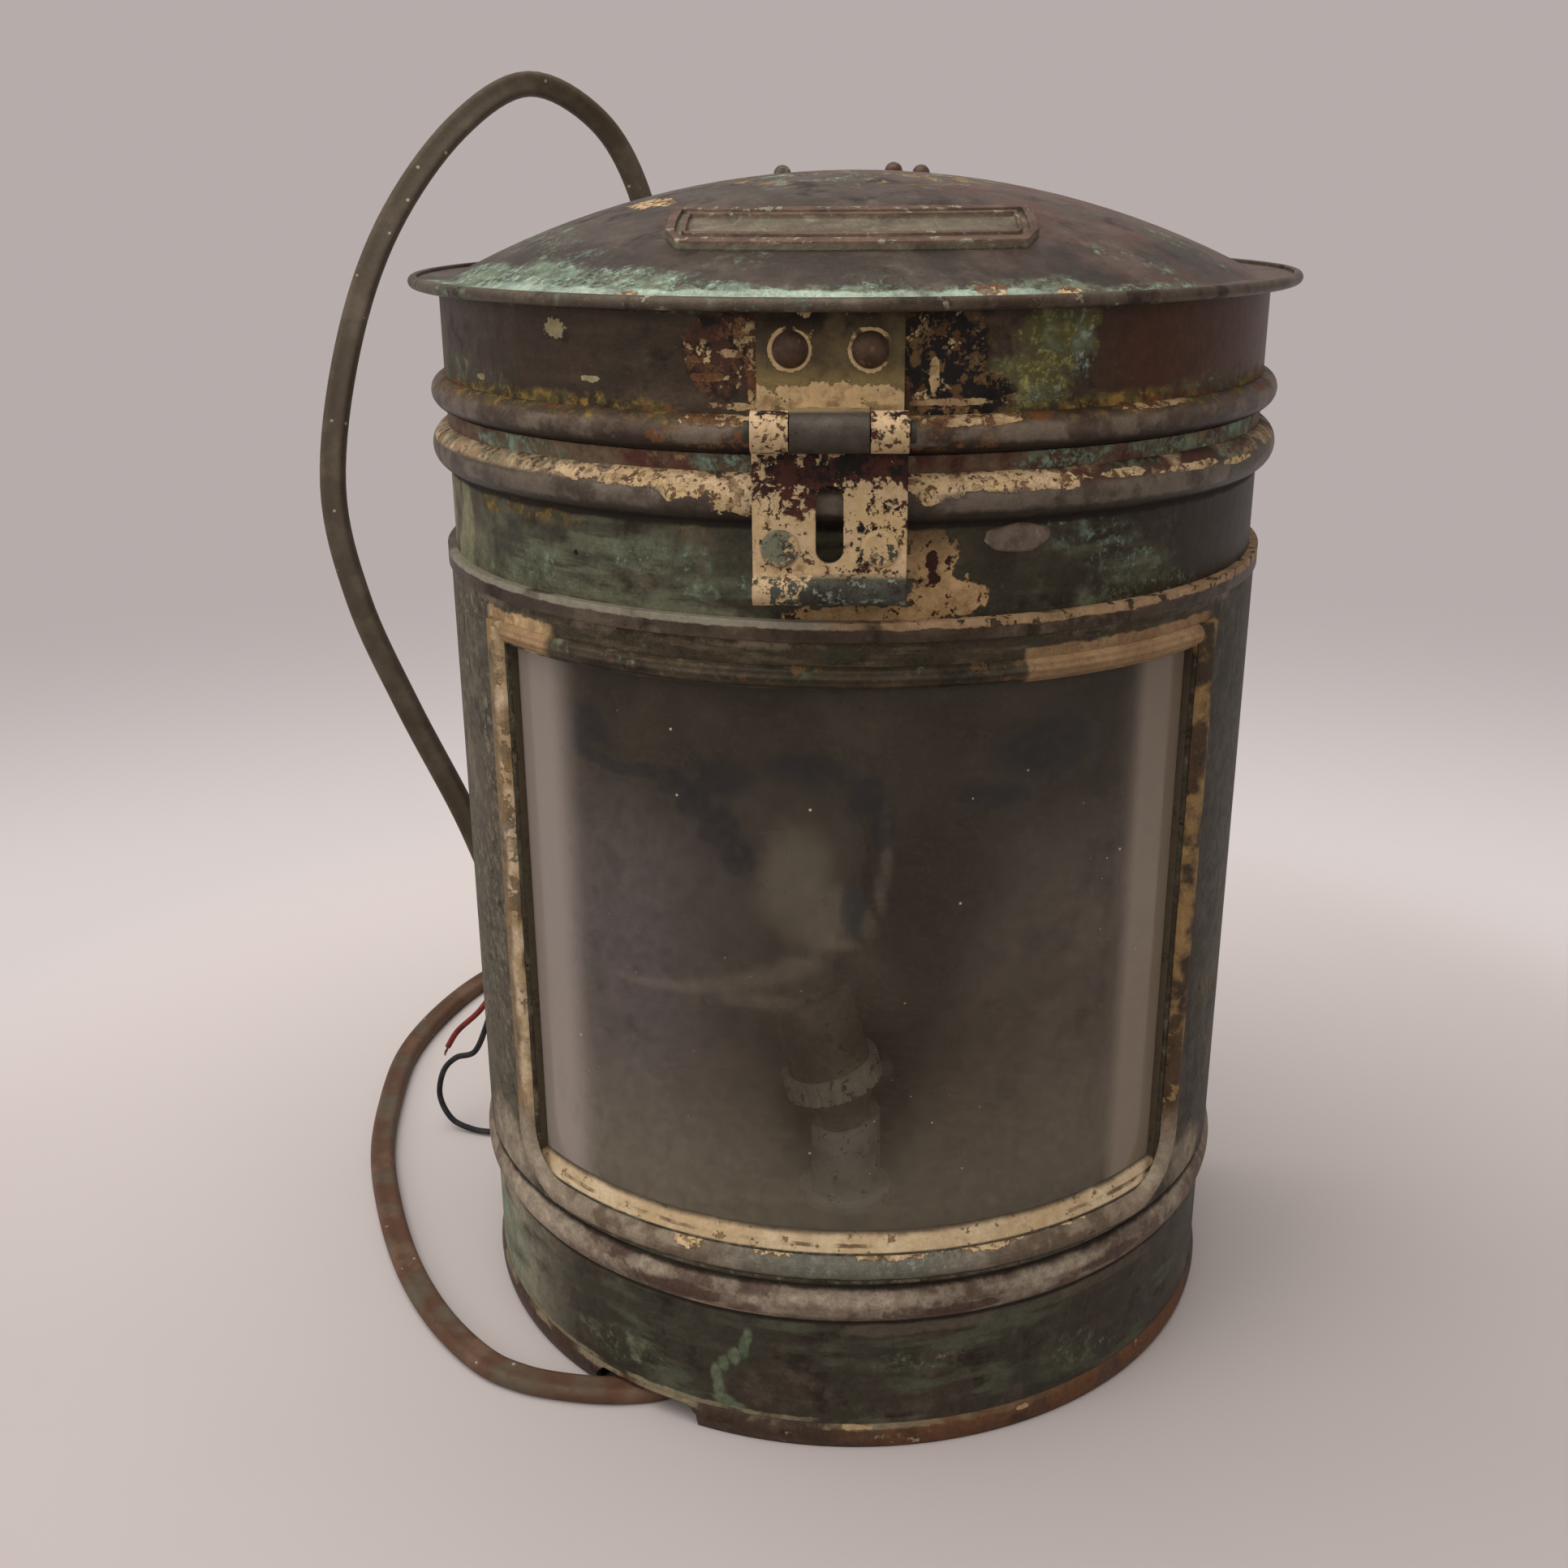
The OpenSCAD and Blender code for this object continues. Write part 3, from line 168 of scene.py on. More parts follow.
class Finish(Nodes):
    """A procedural material that is built up in layers over a base colour."""

    def __init__(self, name, colour, rough, metal=0):
        self.material = bpy.data.materials.new(name)
        self.material.use_nodes = True
        super().__init__(self.material.node_tree)
        self.shader = self.tree.nodes["Principled BSDF"]
        self.give("Specular IOR Level", DULL_GLOSS)
        self.colour, self.rough, self.metal, self.height = colour, rough, metal, None
        self.place = self.add("TexCoord").outputs["Object"]
        self.x, self.y, self.z = self.add("SeparateXYZ", self.place).outputs
        azimuth = self.math("ARCTAN2", self.x, self.math("MULTIPLY", self.y, -1))
        self.arc = self.math("MULTIPLY", azimuth, body_r)
        self.sheet = self.add("CombineXYZ", self.arc, self.z).outputs[0]
        flat = self.add("CombineXYZ", self.x, self.y).outputs[0]
        turn = self.math("ARCSINE", self.math("DIVIDE", self.x, self.vector("LENGTH", flat)))
        self.sideways = self.math("MULTIPLY", turn, body_r)
        self.front = self.smooth(self.y, 0, -20 * MM)

    def give(self, name, value):
        """Links or sets an input of the shader."""
        self.feed(self.shader.inputs[name], value)

    def noise(self, size_mm, detail=5, rough=0.55, stretch=(1, 1, 1), shift=0):
        """Fractal noise whose largest features are about size_mm across."""
        scale = [s / (size_mm * MM) for s in stretch]
        place = self.vector("MULTIPLY", self.place, scale)
        place = self.vector("ADD", place, (shift, 2 * shift, -shift))
        return self.add("TexNoise", place, None, 1, detail, rough).outputs[0]

    def wobble(self, size_mm, detail, shift):
        """Rough noise that goes both ways from 0."""
        return self.math("SUBTRACT", self.noise(size_mm, detail, 0.65, shift=shift), 0.5)

    def cloud(self, size_mm, low, high, shift=0, **kind):
        """Mask of clouds of that size. It rises between two levels of the noise, in percent."""
        return self.smooth(self.noise(size_mm, shift=shift, **kind), low / 100, high / 100)

    def blotches(self, size_mm, low, high, first, second, shift=0, **kind):
        """Colour that goes from the first to the second in clouds of that size."""
        return self.tint(self.cloud(size_mm, low, high, shift, **kind), first, second)

    def flakes(self, size_mm, cover, shift=0):
        """Mask with crisp ragged edges, as paint that is left in flakes; cover is about its share."""
        edge = 0.5 + 0.32 * (0.5 - cover)
        return self.smooth(self.noise(size_mm, 9, 0.68, shift=shift), edge - 0.012, edge + 0.012)

    def specks(self, size_mm, radius):
        """Mask of small separate dots; radius is a share of their spacing."""
        dots = self.add("TexVoronoi", self.place, None, 1 / (size_mm * MM))
        return self.smooth(dots.outputs["Distance"], radius, 0.6 * radius)

    def patch(self, spots, ragged, size_mm=9, edge=0.06, shift=0):
        """Mask of ragged spots, each given as azimuth and height of its middle and half its sizes,
        in degrees and millimetres."""
        field = None
        for azimuth, height_mm, half_azimuth, half_height_mm in spots:
            middle = (math.radians(azimuth) * body_r, height_mm * MM, 0)
            scale = (1 / (math.radians(half_azimuth) * body_r), 1 / (half_height_mm * MM), 0)
            offset = self.vector("MULTIPLY", self.vector("SUBTRACT", self.sheet, middle), scale)
            inside = self.rest(self.vector("LENGTH", offset))
            field = inside if field is None else self.either(field, inside)
        field = self.plus(field, self.wobble(size_mm, 8, shift), 2 * ragged)
        return self.smooth(field, -edge / 2, edge / 2)

    def above(self, low_mm, high_mm):
        """Mask that rises from 0 to 1 between two heights; falling if low is above high."""
        return self.smooth(self.z, low_mm * MM, high_mm * MM)

    def band(self, low_mm, high_mm, soft_mm=1.5, ragged_mm=0, size_mm=12, shift=0):
        """Mask of a level band between two heights."""
        z = self.z
        if ragged_mm:
            z = self.plus(z, self.wobble(size_mm, 7, shift), 2 * ragged_mm * MM)
        rise = self.smooth(z, (low_mm - soft_mm) * MM, low_mm * MM)
        fall = self.smooth(z, (high_mm + soft_mm) * MM, high_mm * MM)
        return self.both(rise, fall)

    def side_of(self, azimuth, soft=12):
        """Mask that rises round an azimuth, to the right of it; the back mirrors the front."""
        middle, half = math.radians(azimuth) * body_r, math.radians(soft) * body_r
        return self.smooth(self.sideways, middle - half, middle + half)

    def left_of(self, azimuth, soft=12):
        return self.rest(self.side_of(azimuth, soft))

    def layer(self, mask, colour, rough=None, metal=None, height_mm=0):
        """Lays a colour, and its roughness, metal and thickness, over what is there."""
        mask = self.whole(mask)
        self.colour = self.tint(mask, self.colour, colour)
        if rough is not None:
            self.rough = self.blend(mask, self.rough, rough)
        if metal is not None:
            self.metal = self.blend(mask, self.metal, metal)
        if height_mm:
            self.raise_by(mask, height_mm)

    def raise_by(self, mask, height_mm):
        self.height = self.plus(0 if self.height is None else self.height, mask, height_mm)

    def mottle(self, depth, size_mm, pits, relief_mm=0.45):
        """Uneven tone at two sizes, dark pits and pale dust, as handling and weather leave them."""
        coarse = self.noise(size_mm, 8, 0.74, shift=1.3)
        fine = self.noise(0.28 * size_mm, 5, 0.7, shift=3.9)
        tone = self.plus(self.part(fine, 0.35), coarse, 0.65)
        scaled = self.vector("SCALE", self.colour)
        gain = self.add("MapRange", tone, 0.32, 0.68, 1 - depth, 1 + depth).outputs[0]
        self.feed(scaled.node.inputs["Scale"], gain)
        self.colour = scaled
        if pits:
            self.layer((self.smooth(fine, 0.3, 0.22), pits * 2), DARK_BROWN)
            dust = self.smooth(self.noise(0.5 * size_mm, 7, 0.7, shift=6.1), 0.66, 0.74)
            self.layer((dust, pits), PALE_DUST, 0.8, 0)
        if relief_mm:
            self.raise_by(tone, relief_mm)

    def done(self, round_mm):
        """Links what was built to the shader, with bump and softly rounded edges."""
        normal = self.add("Bevel", round_mm * MM, samples=4).outputs[0] if round_mm else None
        if self.height is not None:
            bump = self.add("Bump")
            for name, value in (("Distance", MM), ("Height", self.height), ("Normal", normal)):
                self.feed(bump.inputs[name], value)
            normal = bump.outputs[0]
        names = "Base Color", "Roughness", "Metallic", "Normal"
        for name, value in zip(names, (self.colour, self.rough, self.metal, normal)):
            self.give(name, value)
        return self.material

    def aged(self, depth, size_mm, pits, round_mm=0.5):
        """The finished material, with uneven tone and relief."""
        self.mottle(depth, size_mm, pits)
        return self.done(round_mm)


# Colours of the old finishes
BROWN = (52, 35, 23)
DARK_BROWN = (20, 13, 9)
NEAR_BLACK = (12, 9, 8)
MAROON = (88, 29, 21)
OXIDE = (66, 22, 16)
RUST = (155, 64, 26)
WARM_GREY = (250, 200, 150)
PALE_DUST = (400, 335, 250)
LIME = (360, 300, 225)
MOSS = (86, 90, 54)
SAGE = (150, 162, 108)
VERDIGRIS = (200, 270, 210)
PALE_TEAL = (380, 460, 370)
OLIVE = (100, 78, 30)
YELLOW_GREEN = (250, 230, 78)
MUSTARD = (270, 170, 45)
OCHRE = (265, 165, 72)
TAN = (300, 190, 100)
CREAM = (520, 365, 190)
PINK_CREAM = (570, 405, 245)
DIRTY_CREAM = (290, 185, 90)
# Pairs of patina colours
GREENS = MOSS, SAGE
TEALS = SAGE, VERDIGRIS
PALE_GREENS = SAGE, PALE_TEAL
YELLOWS = OLIVE, MUSTARD


def old_copper(name, ground, cloud, patina, patina_cover=0.5, rough=0.46, metal=0.3, grime=0.8):
    """The ground that all the copper pieces share: clouds of another tone, rubbed places, dark stains,
    level brush marks, and patina that gathers in grains."""
    f = Finish(name + "_copper", ground, rough, metal)
    f.layer(f.cloud(38, 40, 60, 1.7, rough=0.62), cloud)
    rubbed = f.both(f.cloud(12, 48, 66, 9.4, rough=0.72), f.cloud(45, 38, 58, 2.2))
    f.layer((rubbed, 0.55), shade(ground, 2.1), 0.38)
    f.layer((f.cloud(16, 52, 66, 4.1, rough=0.68), grime), DARK_BROWN, 0.55)
    brushed = f.cloud(3.2, 48, 70, 2.9, stretch=(0.12, 0.12, 1))
    f.layer((brushed, 0.3), shade(ground, 2))
    low = 78 - 34 * patina_cover
    grains = f.cloud(2.6, 40, 58, 8.8, rough=0.75)
    bloom = f.both(f.cloud(30, low - 8, low + 12, 7.3, rough=0.68), grains)
    f.layer(bloom, patina, 0.74, 0.05, 0.1)
    f.raise_by(f.noise(55, 2, 0.5, shift=5), 1.4)
    return f


def powder(f, mask, colours, shift=0, cover=0.5):
    """Powdery patina inside a mask, broken up into grains."""
    mask = f.whole(mask)
    low = 60 - 24 * cover
    small = f.cloud(2.2, low, low + 14, shift, rough=0.76)
    large = f.cloud(9, low + 4, low + 20, shift)
    tone = f.blotches(5, 42, 62, *colours, shift + 2)
    f.layer((mask, f.either(small, large)), tone, 0.8, 0, 0.18)


def crust(f, mask, shift=0, chips=0.5, colours=(CREAM, PINK_CREAM)):
    """Cream paint that is left inside a mask, chipped down to oxide."""
    mask = f.whole(mask)
    worn = f.both(f.flakes(6, chips * 0.9, shift), f.cloud(20, 40, 58, shift))
    small = f.flakes(2.6, 0.16 + 0.3 * chips, shift + 5)
    left = f.without(f.without(mask, worn), f.part(small, 0.9))
    f.layer((mask, 0.75), f.blotches(6, 42, 60, OXIDE, RUST, shift), 0.62, 0.1)
    tone = f.blotches(11, 38, 64, *colours, shift + 3)
    f.layer(left, f.blotches(4, 52, 68, tone, DIRTY_CREAM, shift), 0.66, 0, 0.45)


def groove(f, *heights_mm, half_mm=0.8, strength=0.9):
    """Dark grime and painted shade in the grooves at these heights."""
    for height in heights_mm:
        # Dark line in each groove: dirt in the joint and painted shade together
        dirt = f.band(height - half_mm, height + half_mm, 1.2, 1, 9, height)
        f.layer((dirt, strength), (16, 11, 8), 0.75, 0)


def crest(f, height_mm, half_mm, colour, cover=0.5):
    """Metal rubbed lighter along the crest of a bead: partly wear, partly a painted highlight."""
    # Pale band along the crest: worn metal and painted highlight together
    rub_and_highlight = f.band(height_mm - half_mm, height_mm + half_mm, 1.6, 1.6, 8, height_mm)
    worn = f.cloud(22, 62 - 30 * cover, 74 - 30 * cover, height_mm, rough=0.68)
    f.layer((rub_and_highlight, worn), colour, 0.4, 0.35)


def dome_finish():
    f = old_copper("dome", (80, 63, 51), (56, 41, 32), SAGE, 0.22, 0.42, 0.35)
    red = f.both(f.side_of(28, 20), f.cloud(30, 34, 58, 8))
    f.layer(red, f.blotches(9, 40, 62, (105, 52, 36), (120, 80, 64)))
    foot = dome_foot_z / MM
    f.layer((f.band(foot + 2, foot + 9, 3, 4, 16), f.cloud(30, 36, 58, 3)), (46, 36, 29))
    left = [
        (-62, foot + 1, 12, 4), (-46, foot + 1.4, 12, 5), (-30, foot + 1.4, 11, 4.5),
        (-16, foot + 0.6, 9, 2.6),
    ]
    front = [(0, foot + 0.4, 8, 2.2), (14, foot + 0.5, 7, 2.4), (24, foot + 0.8, 7, 3), (40, foot, 9, 1.6)]
    powder(f, f.patch([*left, *front], 0.8, 8, 0.5, 1), TEALS, 1, 0.75)
    powder(f, f.patch(left, 0.9, 6, 0.3, 3), (VERDIGRIS, PALE_TEAL), 3, 0.55)
    powder(f, (f.band(foot, foot + 12, 6, 6, 20), f.cloud(36, 52, 64, 9)), TEALS, 4, 0.45)
    line = f.band(foot - 1, foot + 1.2, 0.6, 1.6, 8, 3)
    line = f.both(line, f.side_of(-52, 10), f.left_of(22, 8), f.front)
    f.layer((line, f.cloud(26, 40, 54, 6)), PALE_TEAL, 0.75, 0, 0.15)
    crown = f.smooth(f.z, dome_top_z - 6 * MM, dome_top_z - 2 * MM)
    powder(f, (crown, f.cloud(16, 44, 58, 1)), PALE_GREENS, 2, 0.5)
    f.layer((crown, f.flakes(7, 0.26, 2)), DIRTY_CREAM, 0.7, 0, 0.3)
    spots = [(-58, 367, 9, 1.4), (17, foot + 1.5, 2.2, 1.3), (27, foot + 0.6, 1.6, 1), (-28, foot, 2, 1)]
    crust(f, f.patch(spots, 0.9, 4, shift=4), 3, 0.6)
    return f.aged(0.34, 5, 0.3)


def plate_finish():
    """The raised borders are worn brown with pale outlines, and the field between them is greener."""
    f = old_copper("name_plate", (120, 96, 69), (150, 126, 90), SAGE, 0.4, grime=0.4)
    out = f.vector("LENGTH", f.vector("SUBTRACT", f.place, tuple(dome_centre)))
    border = f.smooth(out, dome_ball_r + 1.4 * MM, dome_ball_r + 2 * MM)
    field = f.rest(border)
    powder(f, (field, f.cloud(14, 42, 58, 3)), (SAGE, WARM_GREY), 6, 0.45)
    f.layer(border, f.blotches(14, 40, 62, (160, 98, 67), (98, 58, 41)), 0.4, 0.4)
    f.layer((border, f.flakes(4, 0.22, 6)), (270, 250, 185), 0.8, 0)
    return f.aged(0.34, 3, 0.35, round_mm=0.7)


def brim_finish():
    f = old_copper("brim", (88, 68, 50), BROWN, SAGE, 0.15, 0.38, 0.45)
    powder(f, (f.cloud(30, 46, 60, 3), f.left_of(10, 30)), TEALS, 2, 0.35)
    f.layer((f.flakes(5, 0.22, 5), f.cloud(34, 50, 62)), (280, 235, 170), 0.7, 0.05, 0.15)
    return f.aged(0.32, 3, 0.3)


def lid_band_finish():
    f = old_copper("lid_band", (46, 30, 20), (36, 26, 17), MOSS, 0.1, 0.42)
    f.layer((f.left_of(-48, 12), f.cloud(24, 34, 56, 4)), (76, 62, 42), 0.5)
    f.layer((f.side_of(32, 6), f.cloud(50, 26, 50, 2)), (60, 24, 12), 0.38, 0.35)
    foot = f.both(f.band(314, 319.6, 2.5, 4, 9), f.cloud(34, 34, 50))
    powder(f, foot, YELLOWS, 3, 0.7)
    f.layer((f.band(314, 318.8, 1, 3, 6, 2), f.cloud(14, 52, 60, 6)), RUST, 0.7, 0, 0.1)
    under_brim = f.both(f.band(343.4, 347, 1.2, 2, 9), f.cloud(24, 46, 60, 5))
    powder(f, under_brim, PALE_GREENS, 1, 0.5)
    spots = [(24, 335, 4.4, 9), (20.5, 326, 5, 7), (27, 341, 2.6, 4), (17.6, 321, 4, 3)]
    green = f.patch(spots, 0.9, 8, 0.5)
    f.layer((green, 0.85), (112, 100, 36), 0.7, 0.1)
    powder(f, green, (shade(YELLOW_GREEN, 1.3), SAGE), 5, 0.56)
    powder(f, f.patch([(27.4, 334, 1.5, 9), (22, 322, 4, 2)], 0.7, 5, 0.6), PALE_GREENS, 9, 0.5)
    powder(f, f.patch([(55, 320, 12, 4), (-58, 321, 10, 5)], 0.9, 9, 0.6), GREENS, 7, 0.5)
    right = f.patch([(10, 334, 5.5, 13), (13, 322, 6, 6)], 0.6, 8, 0.4)
    f.layer((right, 0.9), f.blotches(7, 42, 60, (150, 86, 36), (100, 46, 22)), 0.6, 0.1)
    f.layer((right, f.flakes(5, 0.56, 4)), NEAR_BLACK, 0.5, 0.2)
    left = f.patch([(-15, 333, 4.2, 12), (-12, 338, 3, 7)], 0.7, 8, 0.4)
    f.layer((left, 0.9), f.blotches(6, 42, 56, (62, 26, 17), NEAR_BLACK), 0.6, 0.1)
    f.layer((left, f.flakes(4, 0.34, 6)), (110, 50, 24), 0.6, 0.1)
    flecks = f.both(f.either(left, right), f.flakes(3.2, 0.26, 3), f.cloud(14, 40, 54, 5))
    f.layer(flecks, f.blotches(5, 40, 60, CREAM, TAN), 0.68, 0, 0.35)
    drips = [
        (-11, 329, 0.8, 12), (-12.4, 338, 0.9, 4), (-13.6, 333, 1.6, 1), (-16, 327, 2.6, 1.2),
        (-18, 331, 1, 1.4), (11.4, 321, 4.6, 0.9), (-12.6, 320, 4, 1), (9.4, 328, 0.6, 5),
    ]
    crust(f, f.patch(drips, 1.1, 3.4), 2, 0.55, (shade(CREAM, 0.85), TAN))
    spots = [(-37.5, 337.5, 1.7, 2.6), (-32, 325.2, 1.4, 0.9), (-54, 322, 1.2, 0.8)]
    f.layer(f.patch(spots, 1, 2.6), (310, 255, 145), 0.75, 0, 0.3)
    groove(f, 344.6, half_mm=0.9)
    return f.aged(0.36, 5, 0.2)


def lid_bead_finish():
    f = old_copper("lid_bead", (80, 56, 41), (64, 43, 31), MOSS, 0.1, 0.36, 0.4, 0.3)
    # Painted shade: the underside of the bead is darkened
    f.layer((f.above(313.8, 310.8), 0.7), (26, 18, 13), 0.45)
    top = f.above(314.8, 316.5)
    powder(f, (top, f.cloud(30, 36, 52, 4)), YELLOWS, 2, 0.6)
    f.layer((top, f.cloud(12, 54, 62, 8)), RUST, 0.6, 0.1)
    near = f.patch([(-13, 316.8, 6, 1.5), (13, 317, 7, 1.6), (38, 317.6, 6, 0.8)], 0.9, 4)
    crust(f, near, 5, 0.6)
    f.layer((f.patch([(-16, 312, 8, 3), (12, 312, 6, 4)], 0.9, 6), f.flakes(4, 0.4, 2)), RUST, 0.6, 0.1)
    crest(f, 313.4, 1.6, (150, 116, 86), 0.6)
    groove(f, 308.4)
    return f.aged(0.3, 3.5, 0.25)


def body_bead_finish():
    f = old_copper("body_bead", (74, 56, 42), (58, 46, 33), SAGE, 0.15, 0.38, 0.4, 0.3)
    # Painted shade: the underside of the bead is darkened
    f.layer((f.above(296.2, 292.8), 0.7), (26, 19, 14), 0.45)
    top = f.above(299, 300.6)
    f.layer((top, f.cloud(16, 36, 50, 2)), f.blotches(8, 40, 60, MAROON, BROWN), 0.6, 0.1)
    tan = f.both(top, f.either(f.left_of(-28, 5), f.cloud(18, 50, 60, 9)))
    powder(f, tan, ((270, 190, 110), (420, 315, 195)), 1, 0.9)
    powder(f, (top, f.cloud(20, 50, 60, 5)), TEALS, 3, 0.5)
    paint = [
        (-33, 301.4, 3.6, 2), (-26, 301.6, 4.6, 2.8), (-19, 300.6, 4.6, 4), (-13, 298.6, 3.4, 5),
        (9.4, 300.6, 3.8, 4), (17, 301.2, 6, 2.8), (24.6, 300.4, 3.4, 2), (33, 301, 3.5, 1),
        (45, 300, 6, 1), (55, 299, 4, 1),
    ]
    crust(f, f.patch(paint, 1, 5, shift=5), 1, 0.34)
    crest(f, 296.6, 1.8, (140, 112, 86), 0.5)
    groove(f, 290.6)
    return f.aged(0.32, 3.5, 0.25)


def upper_band_finish():
    f = old_copper("upper_band", (60, 51, 34), (44, 42, 28), MOSS, 0.4, 0.46, 0.3)
    f.layer((f.side_of(14, 6), f.cloud(40, 30, 54, 6)), (25, 18, 11), 0.42, 0.15)
    streaks = f.cloud(3.6, 40, 60, 6, stretch=(0.14, 0.14, 1))
    left = f.left_of(-3, 8)
    f.layer((left, streaks, f.cloud(26, 40, 58, 3.4)), (120, 122, 78), 0.66, 0.1, 0.1)
    teal = [
        (-26, 279, 9, 5), (-18, 274, 6, 4), (-40, 272, 8, 5), (31, 283, 6, 5), (37, 275, 5, 5),
        (26, 288, 5, 2),
    ]
    bloom = f.patch(teal, 1, 10, 0.9, 2)
    f.layer((bloom, streaks, 0.7), f.blotches(9, 40, 60, MOSS, SAGE), 0.7, 0.05)
    powder(f, bloom, (MOSS, VERDIGRIS), 2, 0.42)
    powder(f, (f.cloud(22, 56, 66, 7.7), f.left_of(60, 10)), GREENS, 5, 0.45)
    edge = f.both(f.left_of(-56, 7), f.cloud(10, 36, 58, 2, stretch=(1, 1, 0.4)))
    f.layer((edge, 0.85), (225, 215, 125), 0.7, 0.05)
    below_bead = f.both(f.band(286.5, 291, 3, 4, 9), f.cloud(26, 38, 54, 8))
    powder(f, (below_bead, f.left_of(-20, 12)), YELLOWS, 6, 0.55)
    powder(f, (f.band(262, 269, 3, 4, 12), f.cloud(26, 44, 60, 5)), GREENS, 1, 0.5)
    upper = f.band(299, 309, 2)
    f.layer((upper, 0.9), f.blotches(14, 40, 60, MAROON, (150, 100, 62)), 0.6, 0.1)
    green = [(-14, 306, 4.5, 4), (26, 305, 7, 4), (44, 306, 9, 4), (60, 305, 8, 4), (-46, 305, 9, 3)]
    powder(f, (upper, f.patch(green, 0.9, 6, 0.5)), TEALS, 4, 0.7)
    powder(f, (upper, f.cloud(12, 52, 62, 4)), ((180, 135, 85), DIRTY_CREAM), 8, 0.5)
    cream = [(9.4, 281, 3.2, 10), (11.6, 271.5, 4.6, 6), (2, 266.6, 9.5, 2.8), (8.6, 290, 2.6, 3)]
    blob = f.patch(cream, 0.9, 4.5, 0.12, 2)
    tan = f.blotches(7, 42, 60, (420, 265, 130), (330, 200, 95))
    f.layer(blob, f.tint(f.above(278, 291), tan, (125, 82, 40)), 0.66, 0, 0.4)
    chips = f.both(blob, f.flakes(3, 0.2, 7))
    marks = f.patch([(9.6, 281, 0.7, 2.6), (9.8, 276.4, 0.7, 1.6)], 1.1, 2.4)
    f.layer(f.either(chips, marks), (34, 12, 9), 0.6, 0.1, -0.3)
    f.layer(f.patch([(-35.6, 278.3, 0.35, 0.8)], 0.1), NEAR_BLACK, 0.9, 0, -0.6)
    groove(f, 290.2, half_mm=0.7)
    return f.aged(0.42, 4, 0.25)


def seam_finish():
    f = old_copper("seam", (70, 52, 37), BROWN, MOSS, 0.15, 0.4, 0.45)
    # Painted highlight: a pale line on the left part of the ring's top edge
    light = f.both(f.band(263.9, 266, 0.5, 0.9, 6), f.cloud(30, 38, 50, 3), f.left_of(2, 4))
    f.layer(light, (250, 225, 170), 0.38, 0.2)
    tan = f.both(f.band(263.6, 266.2, 0.5, 1.6, 8), f.side_of(-2, 3), f.cloud(34, 34, 46, 4))
    f.layer(tan, f.blotches(8, 44, 60, (360, 235, 135), TAN), 0.66, 0, 0.3)
    f.layer((tan, f.flakes(4, 0.3, 3)), BROWN, 0.6, 0.1)
    return f.aged(0.3, 3, 0.25)


def rail_paint(f):
    """Masks of the old paint that is left at the two ends of the rail over the window."""
    left = f.both(f.side_of(-54.5, 0.8), f.left_of(-40, 1), f.band(248, 256.5, 0.8, 3, 7))
    right = f.both(f.side_of(21.2, 0.4), f.left_of(53, 0.8), f.band(243, 256, 0.8, 1.6, 9))
    return f.both(left, f.front), f.both(right, f.front)


def shell_finish():
    f = old_copper("window_shell", (82, 66, 45), (60, 52, 36), MOSS, 0.35, 0.56, 0.2)
    grain = f.cloud(3.4, 48, 62, 3, rough=0.76)
    f.layer((grain, f.cloud(26, 34, 54, 2)), (190, 162, 112), 0.75, 0, 0.15)
    f.layer((f.cloud(4.5, 56, 64, 6, rough=0.72), f.cloud(24, 40, 56, 7)), DARK_BROWN, 0.6)
    powder(f, f.cloud(34, 46, 60, 8), GREENS, 2, 0.42)
    dark = f.both(f.side_of(50, 5), f.cloud(34, 26, 50, 5))
    f.layer((dark, 0.85), f.blotches(5, 42, 60, (22, 17, 12), (52, 42, 30)), 0.5, 0.2)
    powder(f, (dark, f.cloud(12, 50, 60, 3)), (MOSS, (130, 135, 105)), 5, 0.4)
    rail = f.both(f.above(244.5, 246.5), f.left_of(53, 1.5), f.side_of(-53, 1.5), f.front)
    f.layer(rail, f.blotches(18, 40, 62, (52, 38, 23), (40, 36, 23)), 0.46, 0.3)
    marks = f.cloud(2.4, 52, 66, 8, stretch=(0.14, 0.14, 1))
    f.layer((rail, f.part(marks, 0.6)), (115, 86, 54), 0.5, 0.2)
    powder(f, (rail, f.cloud(20, 54, 64, 5)), GREENS, 3, 0.4)
    crest(f, 259.2, 0.6, (150, 112, 76), 0.4)
    above = f.above(244, 246)
    left, right = rail_paint(f)
    f.layer((left, above), f.blotches(12, 40, 60, CREAM, TAN), 0.6, 0, 0.35)
    tan = f.blotches(16, 36, 64, (235, 142, 72), (305, 190, 100), rough=0.65)
    f.layer((right, above), tan, 0.6, 0, 0.35)
    corner = f.patch([(-61, 69, 8, 13), (60, 68, 6, 9)], 0.6, 9, 0.8)
    f.layer((corner, 0.8), f.blotches(7, 40, 62, WARM_GREY, LIME), 0.8, 0, 0.25)
    return f.aged(0.4, 3.6, 0.4)


